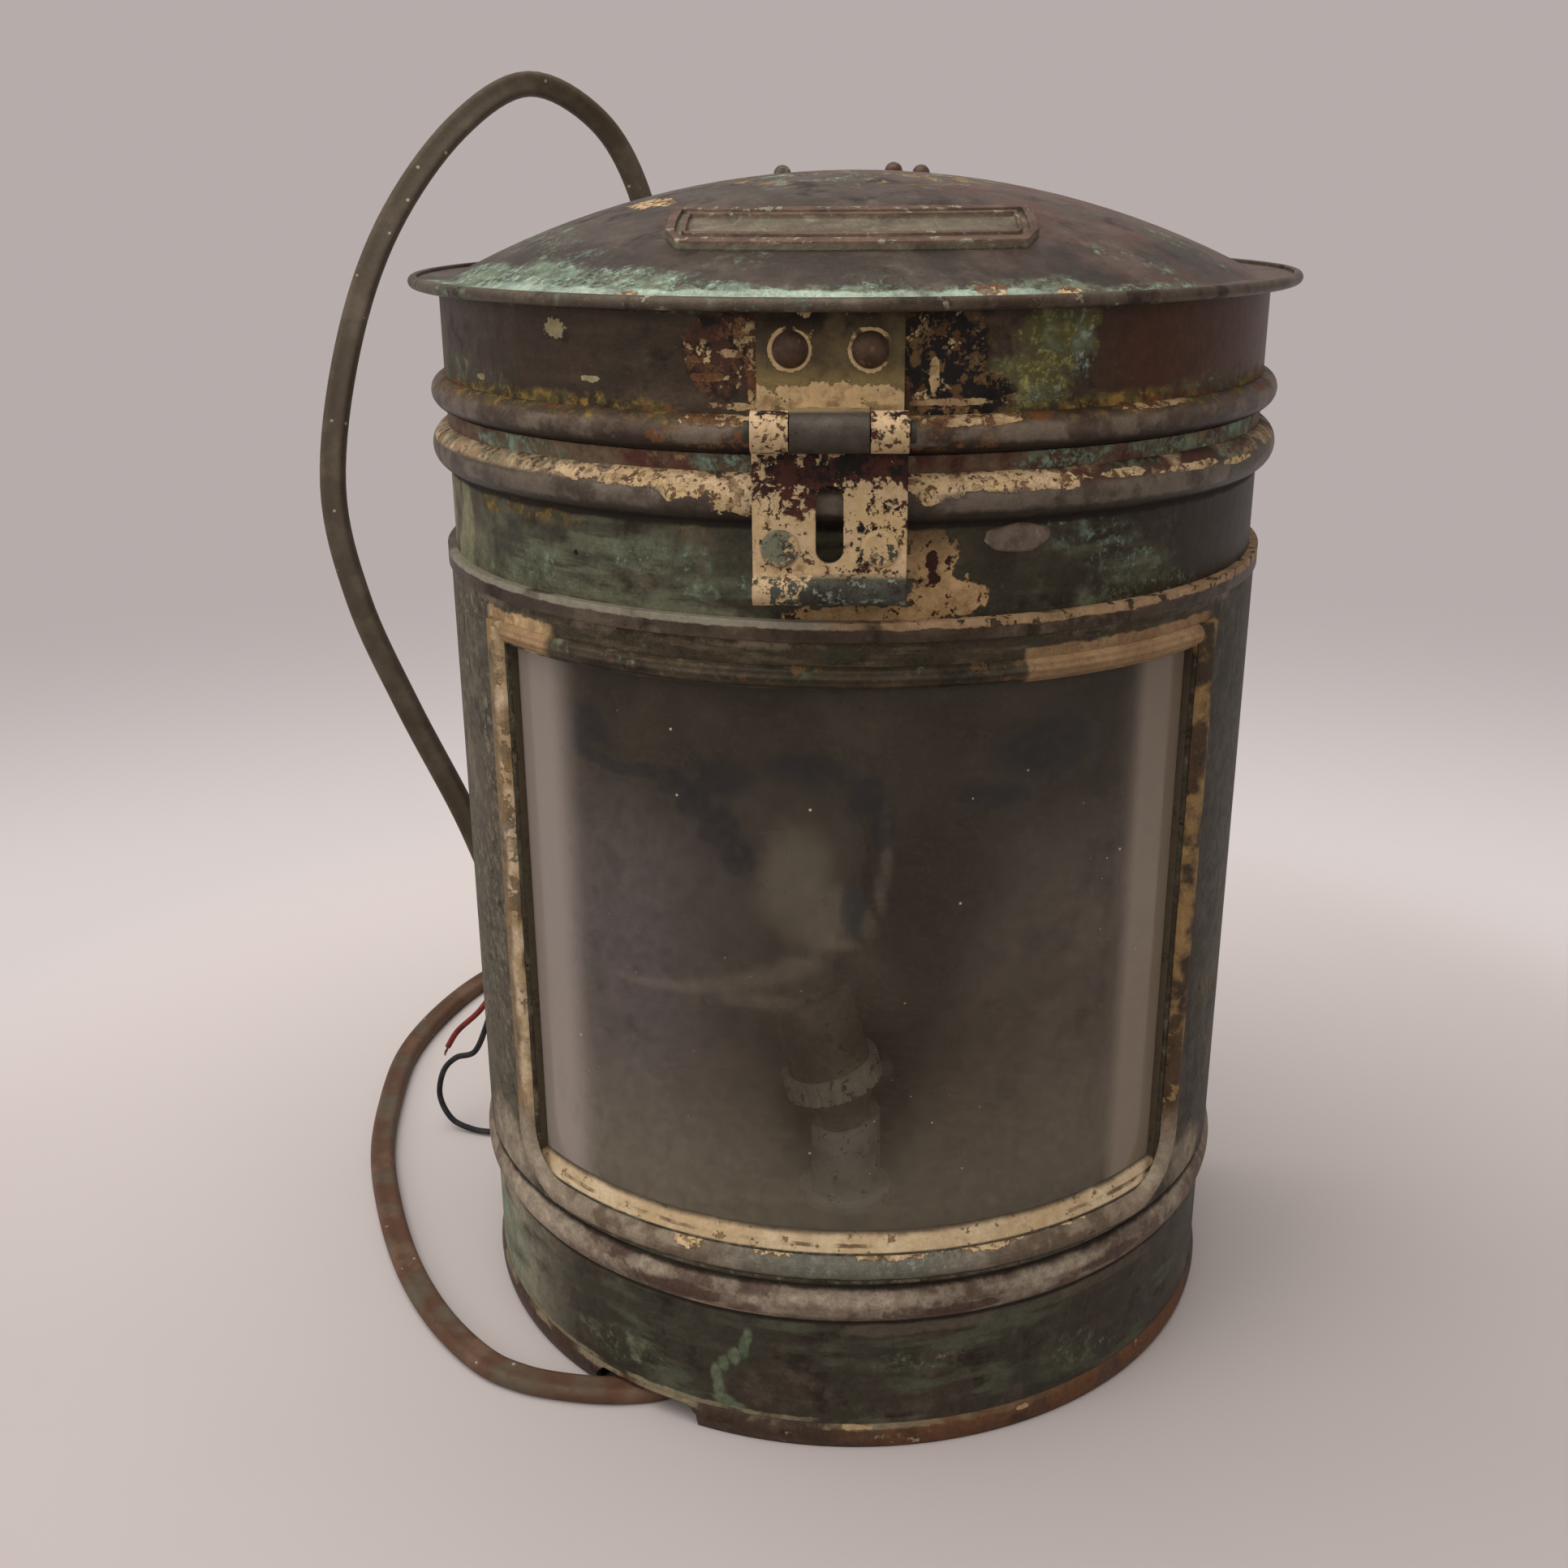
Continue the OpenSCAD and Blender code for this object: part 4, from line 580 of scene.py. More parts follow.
def frame_finish():
    """Ochre and brown on the upright runs with a cream inner edge, grey-green on the foot run."""
    f = old_copper("window_bead", (160, 124, 84), (112, 87, 59), SAGE, 0.25, 0.6, 0.1, 0.5)
    up = f.above(82, 100)
    away = f.math("ABSOLUTE", f.arc)
    wander = f.plus(away, f.noise(14, 6, 0.62, shift=2), 5.5 * MM)
    inner = f.smooth(wander, 120.4 * MM, 118.2 * MM)
    ochre = f.both(up, f.cloud(13, 40, 56, 3, stretch=(1, 1, 0.35), rough=0.66))
    f.layer(ochre, f.blotches(20, 40, 60, OCHRE, (175, 130, 84)), 0.7, 0, 0.15)
    gone = f.both(f.flakes(6, 0.5, 2), f.cloud(24, 50, 60, 4))
    strip = f.without(f.both(up, inner), gone)
    f.layer(strip, f.blotches(7, 42, 60, (540, 415, 275), (400, 285, 160)), 0.7, 0, 0.25)
    f.layer((up, f.side_of(20, 10)), f.blotches(11, 42, 58, BROWN, OCHRE, 5), 0.66, 0.1)
    chips = f.both(up, f.cloud(22, 52, 60, 9, stretch=(1, 1, 0.4)), f.flakes(6, 0.66, 2))
    f.layer(chips, (80, 48, 28), 0.6, 0.2)
    foot = f.rest(up)
    middle = f.both(f.side_of(-14, 9), f.left_of(16, 9))
    brown = f.blotches(9, 42, 60, (240, 190, 138), (125, 90, 61), 4)
    f.layer(foot, f.tint(middle, brown, (138, 130, 102)), 0.6, 0.1)
    top = f.above(64.5, 68)
    blue = f.both(foot, top, middle, f.cloud(16, 34, 52, 2))
    powder(f, blue, ((170, 172, 140), (270, 255, 205)), 3, 0.6)
    spots = [
        (-21.4, 72.4, 2.4, 3.2), (-10, 72.6, 3, 1.8), (6, 72.4, 7, 1.8), (20, 72.4, 5, 2),
        (32, 72.6, 4, 1.4),
    ]
    crust(f, (foot, f.patch(spots, 0.9, 3)), 2, 0.3)
    groove(f, 63.2, half_mm=0.9)
    corner = f.patch([(-54, 72, 9, 16), (-46, 66, 7, 5), (54, 72, 8, 14)], 0.6, 9, 0.7)
    f.layer((corner, 0.85), f.blotches(7, 40, 62, WARM_GREY, LIME), 0.8, 0, 0.3)
    return f.aged(0.36, 3.2, 0.4)


def head_bead_finish():
    f = old_copper("head_bead", (50, 37, 23), (40, 36, 23), MOSS, 0.25, 0.44, 0.35)
    rib_pitch = 2.1 * MM
    f.raise_by(f.math("SINE", f.math("MULTIPLY", f.z, 2 * math.pi / rib_pitch)), 0.15)
    f.layer((f.flakes(4, 0.28, 3), f.cloud(30, 46, 58)), (120, 66, 30), 0.6, 0.2)
    powder(f, f.cloud(16, 54, 64, 5), (OLIVE, SAGE), 3, 0.4)
    left, right = rail_paint(f)
    tan = f.blotches(16, 36, 64, (245, 150, 77), (315, 200, 106), rough=0.65)
    f.layer(f.either(left, right), tan, 0.6, 0, 0.3)
    return f.aged(0.34, 3.2, 0.3)


def putty_finish():
    """Cream where it meets the bead, dark with dirt towards the glass."""
    f = Finish("old_putty", (460, 335, 195), 0.75)
    f.layer(f.cloud(16, 40, 62), (560, 435, 280))
    f.layer(f.flakes(4, 0.14, 2), (230, 145, 72), 0.8, None, -0.3)
    crack = f.band(73.6, 74.3, 0.3, 0.8, 8, 3)
    f.layer((crack, f.cloud(20, 46, 58, 3)), (165, 105, 58), 0.8, None, -0.2)
    level = f.plus(f.z, f.noise(22, 8, 0.66, shift=4), 3 * MM)
    f.layer(f.smooth(level, 77.6 * MM, 79.4 * MM), (85, 64, 42), 0.7)
    f.raise_by(f.noise(5, 6), 0.5)
    return f.aged(0.24, 3, 0.25)


def roll_finish():
    """Grey lime that shows on the upper side, brown bare places, and painted shade that darkens the lower
    side towards the groove below.
    """
    f = old_copper("base_roll", (215, 168, 126), (165, 125, 94), SAGE, 0.1, 0.62, 0.05, 0.2)
    grey = f.blotches(5, 40, 60, (205, 165, 125), (300, 248, 188))
    f.layer(f.cloud(18, 40, 66, 6, rough=0.66), grey, 0.8, 0, 0.2)
    wander = f.plus(f.z, f.noise(10, 7, 0.66, shift=8), 5 * MM)
    # Painted shade: the lower side of the roll is darkened towards the groove below
    under = f.both(f.smooth(wander, 53.5 * MM, 49.5 * MM), f.cloud(40, 30, 50, 3), f.side_of(-40, 10))
    f.layer((under, 0.8), f.blotches(8, 40, 62, (105, 70, 56), (72, 48, 37)))
    bare = f.both(f.cloud(26, 46, 56, 2.2), f.cloud(9, 41, 52, 3, rough=0.7))
    f.layer((bare, 0.8), (98, 62, 46), 0.5, 0.2, -0.15)
    spots = [(-34.7, 58, 4.2, 2.8), (-23, 52.4, 7, 2.8), (16, 51, 5, 1.8), (40, 53, 6, 2.4)]
    f.layer((f.patch(spots, 0.9, 5, 0.3), 0.85), (75, 44, 31), 0.5, 0.2, -0.15)
    lime = [(-27.5, 57, 3.2, 2.6), (-12, 54, 1.6, 1.8), (-50, 55, 13, 6), (2, 56, 10, 2.4), (30, 56, 9, 2)]
    f.layer((f.patch(lime, 0.9, 6, 0.9), 0.8), f.blotches(4, 42, 60, (290, 240, 180), LIME), 0.8, 0, 0.2)
    line = f.both(f.band(46, 48.4, 0.6, 1.2, 6), f.cloud(20, 46, 56, 4), f.left_of(-5, 8))
    f.layer(line, (300, 225, 140), 0.7, 0)
    groove(f, 46.4, 60.2, half_mm=0.7)
    return f.aged(0.48, 3.6, 0.4)


def base_band_finish():
    f = old_copper("base_band", (46, 36, 26), (40, 37, 26), MOSS, 0.25, 0.46, 0.3)
    streaks = f.cloud(5, 44, 62, 5, stretch=(0.2, 0.2, 1))
    f.layer((streaks, f.cloud(34, 44, 60, 3)), (72, 74, 50), 0.6, 0.1)
    left = f.left_of(-52, 14)
    f.layer((left, f.cloud(12, 30, 54, stretch=(0.4, 0.4, 1))), (265, 245, 175), 0.7, 0.05)
    powder(f, (f.left_of(-60, 10), f.band(4, 34, 6, 6)), ((165, 195, 130), VERDIGRIS), 4, 0.6)
    drip = [
        (-13.4, 38, 0.7, 3), (-13.9, 34, 0.7, 4), (-15.4, 30, 0.9, 3), (-17, 26.4, 0.9, 3),
        (-18.1, 22, 0.8, 4), (-17.7, 17, 0.8, 4), (-17, 12.6, 1.7, 2.2), (-15.2, 11.4, 1.3, 1.4),
    ]
    run = f.part(f.patch(drip, 0.5, 3, 0.7), 0.85)
    f.layer(run, f.blotches(4, 40, 62, (85, 112, 62), (130, 150, 96)), 0.8, 0, 0.2)
    green = [(10, 31, 5, 4), (35, 21, 4, 7), (42, 16, 8, 3), (-34, 20, 8, 6)]
    powder(f, f.patch(green, 0.9, 8, 0.7), GREENS, 6, 0.45)
    top = f.both(f.band(42.4, 46, 1.2, 2.4, 9), f.cloud(30, 46, 58, 7))
    f.layer((top, 0.7), (105, 82, 60), 0.75, 0)
    foot = f.both(f.band(8.4, 10.4, 0.6, 1.4, 6), f.cloud(24, 44, 54, 2), f.left_of(0, 14))
    f.layer(foot, (200, 170, 105), 0.7, 0)
    groove(f, 47.2, half_mm=0.8)
    return f.aged(0.38, 4.5, 0.22)


def rim_finish():
    f = old_copper("base_rim", (52, 34, 24), (60, 34, 22), SAGE, 0.1, 0.46, 0.3)
    f.layer((f.cloud(24, 40, 56, 3), f.side_of(0, 12)), (120, 56, 28), 0.55, 0.2)
    edge = f.both(f.band(7.4, 10, 0.8, 1.6, 6), f.cloud(22, 46, 56, 5), f.left_of(20, 20))
    f.layer(edge, (190, 150, 92), 0.7, 0)
    f.layer((f.flakes(3, 0.2, 4), f.cloud(30, 52, 62)), (360, 280, 170), 0.7, 0, 0.2)
    f.layer(f.patch([(1.5, 8, 2.2, 0.9), (26, 6.6, 1.2, 0.8)], 1.1, 2.4), shade(CREAM, 0.7), 0.7, 0, 0.2)
    return f.aged(0.36, 3.2, 0.3)


def hasp_leaf_finish():
    """Cream paint over red oxide, most of it left low on the leaf, bare and dark on the lip."""
    f = Finish("hasp_leaf_paint", OXIDE, 0.6, 0.15)
    f.layer(f.cloud(6, 46, 60, 2, rough=0.7), NEAR_BLACK, 0.55, 0.2)
    low = f.above(303, 288)
    cover = f.plus(f.noise(6.5, 9, 0.72, shift=3), low, 0.1)
    cover = f.plus(cover, f.above(308.5, 312.5), 0.05)
    # Painted shade: thinner paint in a band just under the knuckle leaves the dark oxide showing there
    cover = f.plus(cover, f.band(303.6, 308.6, 1.6), -0.07)
    paint = f.smooth(cover, 0.488, 0.505)
    paint = f.without(paint, f.part(f.flakes(2.4, 0.21, 8), 0.9))
    tone = f.blotches(9, 38, 62, CREAM, PINK_CREAM, 5)
    f.layer(paint, f.blotches(3.5, 56, 72, tone, DIRTY_CREAM), 0.66, 0, 0.45)
    lip = f.above(280, 278.5)
    reach = f.plus(f.noise(7, 8, 0.7), f.x, 14)
    bare = f.both(lip, f.smooth(reach, 0.24, 0.28))
    f.layer(bare, f.blotches(6, 42, 62, (68, 70, 56), (44, 38, 30)), 0.5, 0.35)
    f.layer((bare, f.flakes(3, 0.26, 2)), (200, 215, 165), 0.75, 0, 0.2)
    return f.aged(0.2, 3, 0.3, round_mm=0.6)


def hasp_plate_finish():
    """Bare and olive round the rivets, cream above the knuckle, the knuckle itself rubbed bare."""
    f = Finish("hasp_plate_paint", (70, 49, 30), 0.55, 0.35)
    f.layer(f.cloud(10, 42, 60, 2, rough=0.66), (120, 88, 42), 0.6, 0.2)
    f.layer((f.above(331.5, 326.5), f.cloud(9, 32, 52)), (205, 150, 62), 0.65, 0.1)
    # Painted shadow of the brim: the plate darkens towards its top edge
    f.layer((f.above(334, 342), f.cloud(9, 30, 60)), DARK_BROWN, 0.5, 0.35)
    middle_x = -6 * MM
    away = f.math("ABSOLUTE", f.math("SUBTRACT", f.x, middle_x))
    field = f.plus(f.noise(6, 9, 0.72), away, -6)
    field = f.plus(field, f.above(328.5, 323.5), 0.24)
    f.layer(f.smooth(field, 0.555, 0.572), f.blotches(4, 46, 64, CREAM, DIRTY_CREAM), 0.66, 0, 0.4)
    rivet_low, rivet_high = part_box("hasp_rivets")
    rivet_z = (rivet_low.z + rivet_high.z) / 2
    rivet_r = 4.6 * MM
    for rivet_x in (rivet_low.x + rivet_r, rivet_high.x - rivet_r):
        offset = f.vector("MULTIPLY", f.vector("SUBTRACT", f.place, (rivet_x, 0, rivet_z)), (1, 0, 1))
        away = f.plus(f.vector("LENGTH", offset), f.noise(3.5, 7, 0.7), 2.6 * MM)
        ring = f.both(f.smooth(away, 5.4 * MM, 5.6 * MM), f.smooth(away, 7 * MM, 6.8 * MM))
        f.layer((ring, f.cloud(7, 40, 47, 4)), CREAM, 0.66, 0, 0.35)
    knuckle = f.both(f.smooth(f.y, -132.5 * MM, -133.5 * MM), f.above(321.2, 320.2))
    f.layer(knuckle, f.blotches(8, 40, 62, (62, 52, 41), (88, 76, 62)), 0.42, 0.5)
    return f.aged(0.24, 3, 0.3, round_mm=0.6)


def rivet_finish():
    f = Finish("rivet_copper", (85, 50, 32), 0.44, 0.45)
    f.layer(f.cloud(4, 42, 62), (55, 35, 25), 0.55, 0.35)
    f.layer(f.flakes(3, 0.16, 2), (140, 85, 52), 0.6, 0.2)
    return f.aged(0.26, 2, 0.3, round_mm=0.4)


def disc_finish():
    f = Finish("disc_green", (170, 170, 118), 0.68, 0.1)
    f.layer(f.smooth(f.plus(f.noise(3, 9, 0.68, shift=1), f.x, 7), 0.4, 0.44), CREAM, 0.7, 0, 0.3)
    f.layer(f.flakes(2.5, 0.3, 4), (70, 64, 50), 0.6, 0.2)
    return f.aged(0.22, 2, 0.3, round_mm=0.4)


def inner_finish():
    """Inside faces: dull brown-green copper with soot."""
    f = old_copper("inner", (120, 98, 72), (85, 72, 54), MOSS, 0.4, 0.6, 0.25)
    f.layer(f.cloud(30, 55, 70, 3), (35, 29, 23), 0.8, 0)
    return f.aged(0.26, 5, 0.2)


def rear_finish():
    """Rear socket and its strap: heavier copper with some paint left."""
    f = old_copper("rear", (75, 60, 44), (70, 46, 32), SAGE, 0.5, 0.52, 0.4)
    crust(f, (f.cloud(28, 50, 58, 3), f.flakes(9, 0.5, 2)), 3, 0.5)
    return f.aged(0.28, 4, 0.3, round_mm=0.8)


def brass_finish(name, ground, dull, metal=0.7):
    f = Finish(name, ground, 0.4, metal)
    f.layer(f.cloud(10, 42, 64, 2), dull, 0.6, 0.55 * metal)
    f.layer(f.flakes(4, 0.2, 3), SAGE, 0.8, 0, 0.1)
    return f.aged(0.24, 3, 0.2, round_mm=0.4)


def porcelain_finish():
    f = Finish("porcelain_glaze", (800, 780, 660), 0.28)
    f.layer(f.cloud(12, 46, 66, 2), (460, 430, 330), 0.5)
    f.layer(f.flakes(4, 0.16, 3), (120, 100, 70), 0.7)
    return f.aged(0.16, 4, 0.15, round_mm=0.6)


def iron_finish():
    f = Finish("pin_iron", (60, 54, 47), 0.45, 0.7)
    f.layer(f.cloud(4, 48, 64), (85, 45, 25), 0.7, 0.2)
    return f.aged(0.26, 2, 0.2, round_mm=0.3)


def solder_finish():
    f = Finish("old_solder", (160, 122, 93), 0.4, 0.25)
    f.layer(f.cloud(6, 44, 62, 2), (100, 71, 52), 0.5, 0.25)
    f.layer(f.cloud(5, 54, 64, 6), (240, 200, 155), 0.5, 0.1)
    return f.aged(0.26, 2.4, 0.3, round_mm=0.3)


def window_glass_finish():
    """Glossy glass under a grainy brown film: dark at the top, grey at the left, paler low down, with pale
    bands of painted reflection beside the frame, a pale patch of painted reflection over the bulb, a painted
    shadow at the bulb's edge, dark smears, wiped streaks and white specks. The lamp shows through it."""
    f = Finish("dirty_glass", (60, 42, 26), 0.07)
    f.give("Specular IOR Level", 0.4)
    right_half = f.side_of(20, 12)
    f.layer((right_half, f.above(225, 170)), (190, 148, 116))
    haze = f.both(f.left_of(-18, 14), f.above(228, 180))
    f.layer(haze, (112, 90, 86))
    f.layer((f.cloud(34, 44, 62, 2, rough=0.62), 0.5), (110, 86, 58))
    f.layer((f.cloud(11, 46, 64, 8, rough=0.72), 0.4), (44, 31, 20))
    low = f.above(150, 80)
    f.layer((low, 0.85), (180, 150, 106))
    brown = f.patch([(11, 188, 9, 24)], 0.5, 14, 1.2)
    f.layer((brown, 0.7), (34, 20, 11))
    # Painted reflection: a pale patch on the window glass over the bulb's upper right side
    bulb = [(-6.5, 190, 4.4, 17), (-3.4, 180, 3.6, 11)]
    f.layer((f.patch(bulb, 0.4, 9, 1, 4), 0.55), (210, 172, 120))
    swirl = [(-30 + 2 * i, 152.6 + 0.04 * i**2.3, 2.8, 1.4 + 0.09 * i) for i in range(13)]
    strokes = [
        *swirl, (-12, 152.4, 5, 2.6), (4.6, 207, 0.7, 6), (4.9, 197, 0.7, 7), (4.2, 187, 0.8, 6),
        (2.6, 178, 1.1, 4), (-0.6, 171.6, 2.2, 1.6), (3.4, 128.4, 2.2, 0.9), (5.4, 132, 0.7, 2.6),
    ]
    f.layer((f.patch(strokes, 0.4, 6, 1.2, 1), 0.36), (240, 196, 142))
    smears = [
        (-35.4, 229, 4, 6), (-39, 223, 2.6, 3), (-35, 219.6, 3.2, 2.2), (-31, 217.8, 3.2, 2),
        (-26.6, 218.4, 3.2, 2.2), (-22.6, 217, 2.8, 4), (-19.6, 211.6, 2.8, 6), (-16.4, 204.6, 3, 7),
        (-14, 197, 2.8, 6), (-16, 219, 3.6, 6), (-5, 223, 6, 5), (2.4, 215, 2.6, 7), (4.4, 206, 1.6, 6),
        (26, 226, 7, 9), (19, 214, 5, 4), (-45, 106, 1.2, 7), (-42.6, 99, 1.2, 6),
    ]
    grit = f.cloud(2.6, 36, 56, 5, rough=0.76)
    dark = f.both(f.patch(smears, 0.8, 6, 0.7, 2), f.blend(grit, 0.6, 1))
    f.layer((dark, 0.9), (10, 8, 7))
    shadow = f.patch([(0.8, 182, 1.6, 8.5)], 0.5, 5, 0.5)
    f.layer((shadow, 0.8), (20, 22, 19))
    f.mottle(0.36, 4.2, 0, 0)
    # Painted reflection: pale bands along the glass beside the left and right of the frame
    left = f.left_of(-40.2, 3.4)
    right = f.side_of(40.4, 1.8)
    f.layer((left, 0.8), (390, 325, 285))
    f.layer((right, 0.75), (330, 258, 195))
    dots = f.either(f.specks(15, 0.035), f.both(f.specks(6, 0.06), f.cloud(40, 52, 60)))
    f.layer(dots, (500, 450, 360), 0.8)
    film = f.blend(f.cloud(60, 34, 66, 4), 0.38, 0.5)
    film = f.blend(low, film, 0.52)
    film = f.blend(haze, film, 0.66)
    film = f.blend(f.either(dark, shadow), film, 0.74)
    film = f.blend(f.patch([(0, 122, 9, 34)], 0.3, 12, 0.8), film, 0.22)
    # The painted reflection bands are kept nearly opaque
    film = f.blend(f.either(left, right), film, 0.72)
    f.give("Alpha", f.blend(dots, film, 0.95))
    f.rough = f.blend(f.cloud(30, 40, 65, 3), 0.06, 0.18)
    return f.done(0)


def bulb_glass_finish():
    """Dusty clear bulb: a thin dust film, thickened into a painted highlight on its right side and nearly
    gone on its left.
    """
    f = Finish("bulb_glass", (500, 460, 360), 0.1)
    f.give("Specular IOR Level", 0.5)
    f.layer(f.cloud(20, 48, 66, 3), (260, 230, 170))
    low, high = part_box("bulb_glass")
    middle_x = (low.x + high.x) / 2
    # Painted highlight: the film is denser and paler towards the bulb's right side
    painted_lit_side = f.smooth(f.x, middle_x - 6 * MM, middle_x + 18 * MM)
    facing = f.add("LayerWeight", 0.35).outputs["Facing"]
    film = f.blend(f.cloud(26, 42, 64), 0.06, 0.16)
    film = f.blend(painted_lit_side, film, f.blend(facing, 0.34, 0.85))
    f.give("Alpha", film)
    return f.done(0)


def filament_finish():
    f = Finish("filament_wire", (160, 150, 140), 0.4, 0.8)
    f.layer(f.cloud(3, 45, 60), (80, 70, 60), 0.6)
    return f.done(0)


def cable_finish():
    """Khaki sheath, redder and dustier where it lies on the floor."""
    f = Finish("cable_sheath", (72, 54, 36), 0.48)
    floor = f.above(100, 20)
    f.layer(floor, (98, 48, 28))
    f.layer(f.cloud(14, 44, 66, 2), (105, 82, 56), 0.58)
    f.layer((f.cloud(9, 50, 66, 5, stretch=(0.5, 0.5, 0.5)), floor), (140, 84, 54), 0.6)
    f.layer(f.specks(9, 0.09), (340, 300, 220), 0.7)
    return f.aged(0.18, 2.5, 0.2, round_mm=0)


def wire_finish(name, ground, worn):
    f = Finish(name, ground, 0.42)
    f.layer(f.cloud(6, 46, 64), worn, 0.55)
    return f.aged(0.16, 1.8, 0, round_mm=0)


def strand_finish():
    f = Finish("bare_strands", (520, 250, 130), 0.35, 0.9)
    f.layer(f.cloud(2, 45, 60), (240, 120, 70), 0.5, 0.7)
    return f.done(0)


# Routes of the cable and its two cores, in millimetres, as their solids follow them
cable_route_mm = [
    (25, -36, 29), (14, -36, 29), (-4, -48, 25), (-22, -72, 16), (-39, -92, 7), (-56, -104, 3),
    (-72, -108, 3), (-90, -107, 3), (-106, -103, 3), (-121, -94, 3), (-140, -73, 3),
    (-158, -44, 3), (-174, -8, 3), (-187, 31, 3), (-194, 70, 3), (-197, 112, 3), (-191, 151, 3),
    (-178, 187, 3), (-158, 215, 4), (-130, 232, 12), (-104, 238, 34), (-86, 236, 68),
    (-77, 230, 110), (-73, 224, 160), (-73, 217, 215), (-76, 210, 270), (-82, 205, 325),
    (-90, 200, 368), (-105, 191, 396), (-129, 169, 409), (-152, 136, 392), (-174, 107, 357),
    (-187, 85, 315), (-193, 70, 266), (-185, 62, 225), (-169, 59, 184), (-150, 60, 139),
    (-139, 60, 106), (-138, 60, 95), (-138, 60, 84),
]
FLAT_UP, FLAT_TURN, FLAT_FRONT = (0, 0, 1), (0, -1, 0.4), (0, -1, 0)
cable_turn = 20
cable_faces = [
    FLAT_UP if i < cable_turn else FLAT_TURN if i < cable_turn + 2 else FLAT_FRONT
    for i in range(len(cable_route_mm))
]
core_red_mm = [
    (-136, 60, 84), (-136, 60, 77), (-142, 60, 65), (-150, 60, 53), (-160, 61, 43), (-165, 62, 35),
]
core_black_mm = [
    (-140, 60, 84), (-140, 60, 77), (-142, 57, 64), (-147, 57, 48), (-153, 58, 35), (-161, 58, 32),
    (-167, 59, 25), (-169, 58, 14), (-164, 55, 5), (-155, 52, 2), (-147, 50, 2),
]
cable_w, cable_t, core_d = 9.6 * MM, 5.5 * MM, 2.4 * MM
CORE_SIDES = 14


def curve_through(points, steps=8):
    """Smooth curve through points, with that many steps from each to the next."""
    points = [Vector(p) for p in points]
    last = len(points) - 1
    line = []
    for i in range(last):
        a, b, c, d = points[max(i - 1, 0)], points[i], points[i + 1], points[min(i + 2, last)]
        for k in range(steps):
            t = k / steps
            line.append(0.5 * (
                2 * b + (c - a) * t + (2 * a - 5 * b + 4 * c - d) * t**2 + (3 * b - a - 3 * c + d) * t**3
            ))
    return [*line, points[-1]]


def circle(sides):
    """Points of a circle of radius 1."""
    turns = [2 * math.pi * k / sides for k in range(sides)]
    return [(math.cos(a), math.sin(a)) for a in turns]


def mesh_object(name, points, faces, material):
    mesh = bpy.data.meshes.new(name)
    mesh.from_pydata(points, [], faces)
    mesh.validate()
    mesh.polygons.foreach_set("use_smooth", [True] * len(mesh.polygons))
    mesh.materials.append(material)
    piece = new_object(name, mesh)
    return piece


def tube_faces(rings, sides, first=0):
    """Faces of a tube of rings of points, closed at both ends; first is its first point."""
    last = first + (rings - 1) * sides
    faces = []
    for ring in range(first, last, sides):
        for k in range(sides):
            a, b = ring + k, ring + (k + 1) % sides
            faces.append((a, b, b + sides, a + sides))
    return [*faces, tuple(range(first + sides - 1, first - 1, -1)), tuple(range(last, last + sides))]


def swept(name, line, facing, section, material):
    """Tube of a closed section along a line; its flat side faces the given way at each point."""
    last = len(line) - 1
    points = []
    for i, middle in enumerate(line):
        ahead = (line[min(i + 1, last)] - line[max(i - 1, 0)]).normalized()
        across = ahead.cross(facing[i]).normalized()
        up = across.cross(ahead)
        points += [middle + s * across + t * up for s, t in section]
    return mesh_object(name, points, tube_faces(len(line), len(section)), material)


def twin_section(sides=32, groove=0.14):
    """Two half rounds joined by flats, with a shallow groove between the two cores."""
    section = []
    middle = cable_w / 2 - cable_t / 2
    groove_w, spread, fullness = 0.12 * cable_w, 2.2, 1.15
    for k in range(sides):
        a = 2 * math.pi * (k + 0.5) / sides
        s = math.copysign(middle, math.cos(a)) * min(1, abs(math.cos(a)) * spread) + cable_t / 2 * math.cos(a)
        waist = 1 - groove * math.exp(-((s / groove_w) ** 2))
        rise = math.copysign(min(1, abs(math.sin(a)) * fullness), math.sin(a))
        section.append((s, cable_t / 2 * rise * waist))
    return section


def make_cords():
    """The cable with its cut end, and the two cores with bare copper strands."""
    route = [Vector(p) * MM for p in cable_route_mm]
    line = curve_through(route)
    facing = curve_through(cable_faces)
    cable = swept("twin_cable", line, facing, twin_section(), cable_finish())
    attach(cable, "body")
    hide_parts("cable")
    round_section = [(core_d / 2 * s, core_d / 2 * t) for s, t in circle(CORE_SIDES)]
    strands = strand_finish()
    cores = (
        ("red_core_wire", core_red_mm, "core_red", "red_core",
         wire_finish("red_insulation", (200, 30, 22), (110, 22, 18))),
        ("black_core_wire", core_black_mm, "core_black", "black_core",
         wire_finish("black_insulation", (18, 18, 21), (40, 38, 38))),
    )
    for name, points_mm, node, slot, material in cores:
        points = [Vector(p) * MM for p in points_mm]
        core_line = curve_through(points)
        core = swept(name, core_line, [Vector(FLAT_FRONT)] * len(core_line), round_section, material)
        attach(core, "body")
        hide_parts(node)
        bare = bare_strands(name + "_strands", core_line, strands)
        bare.parent = core


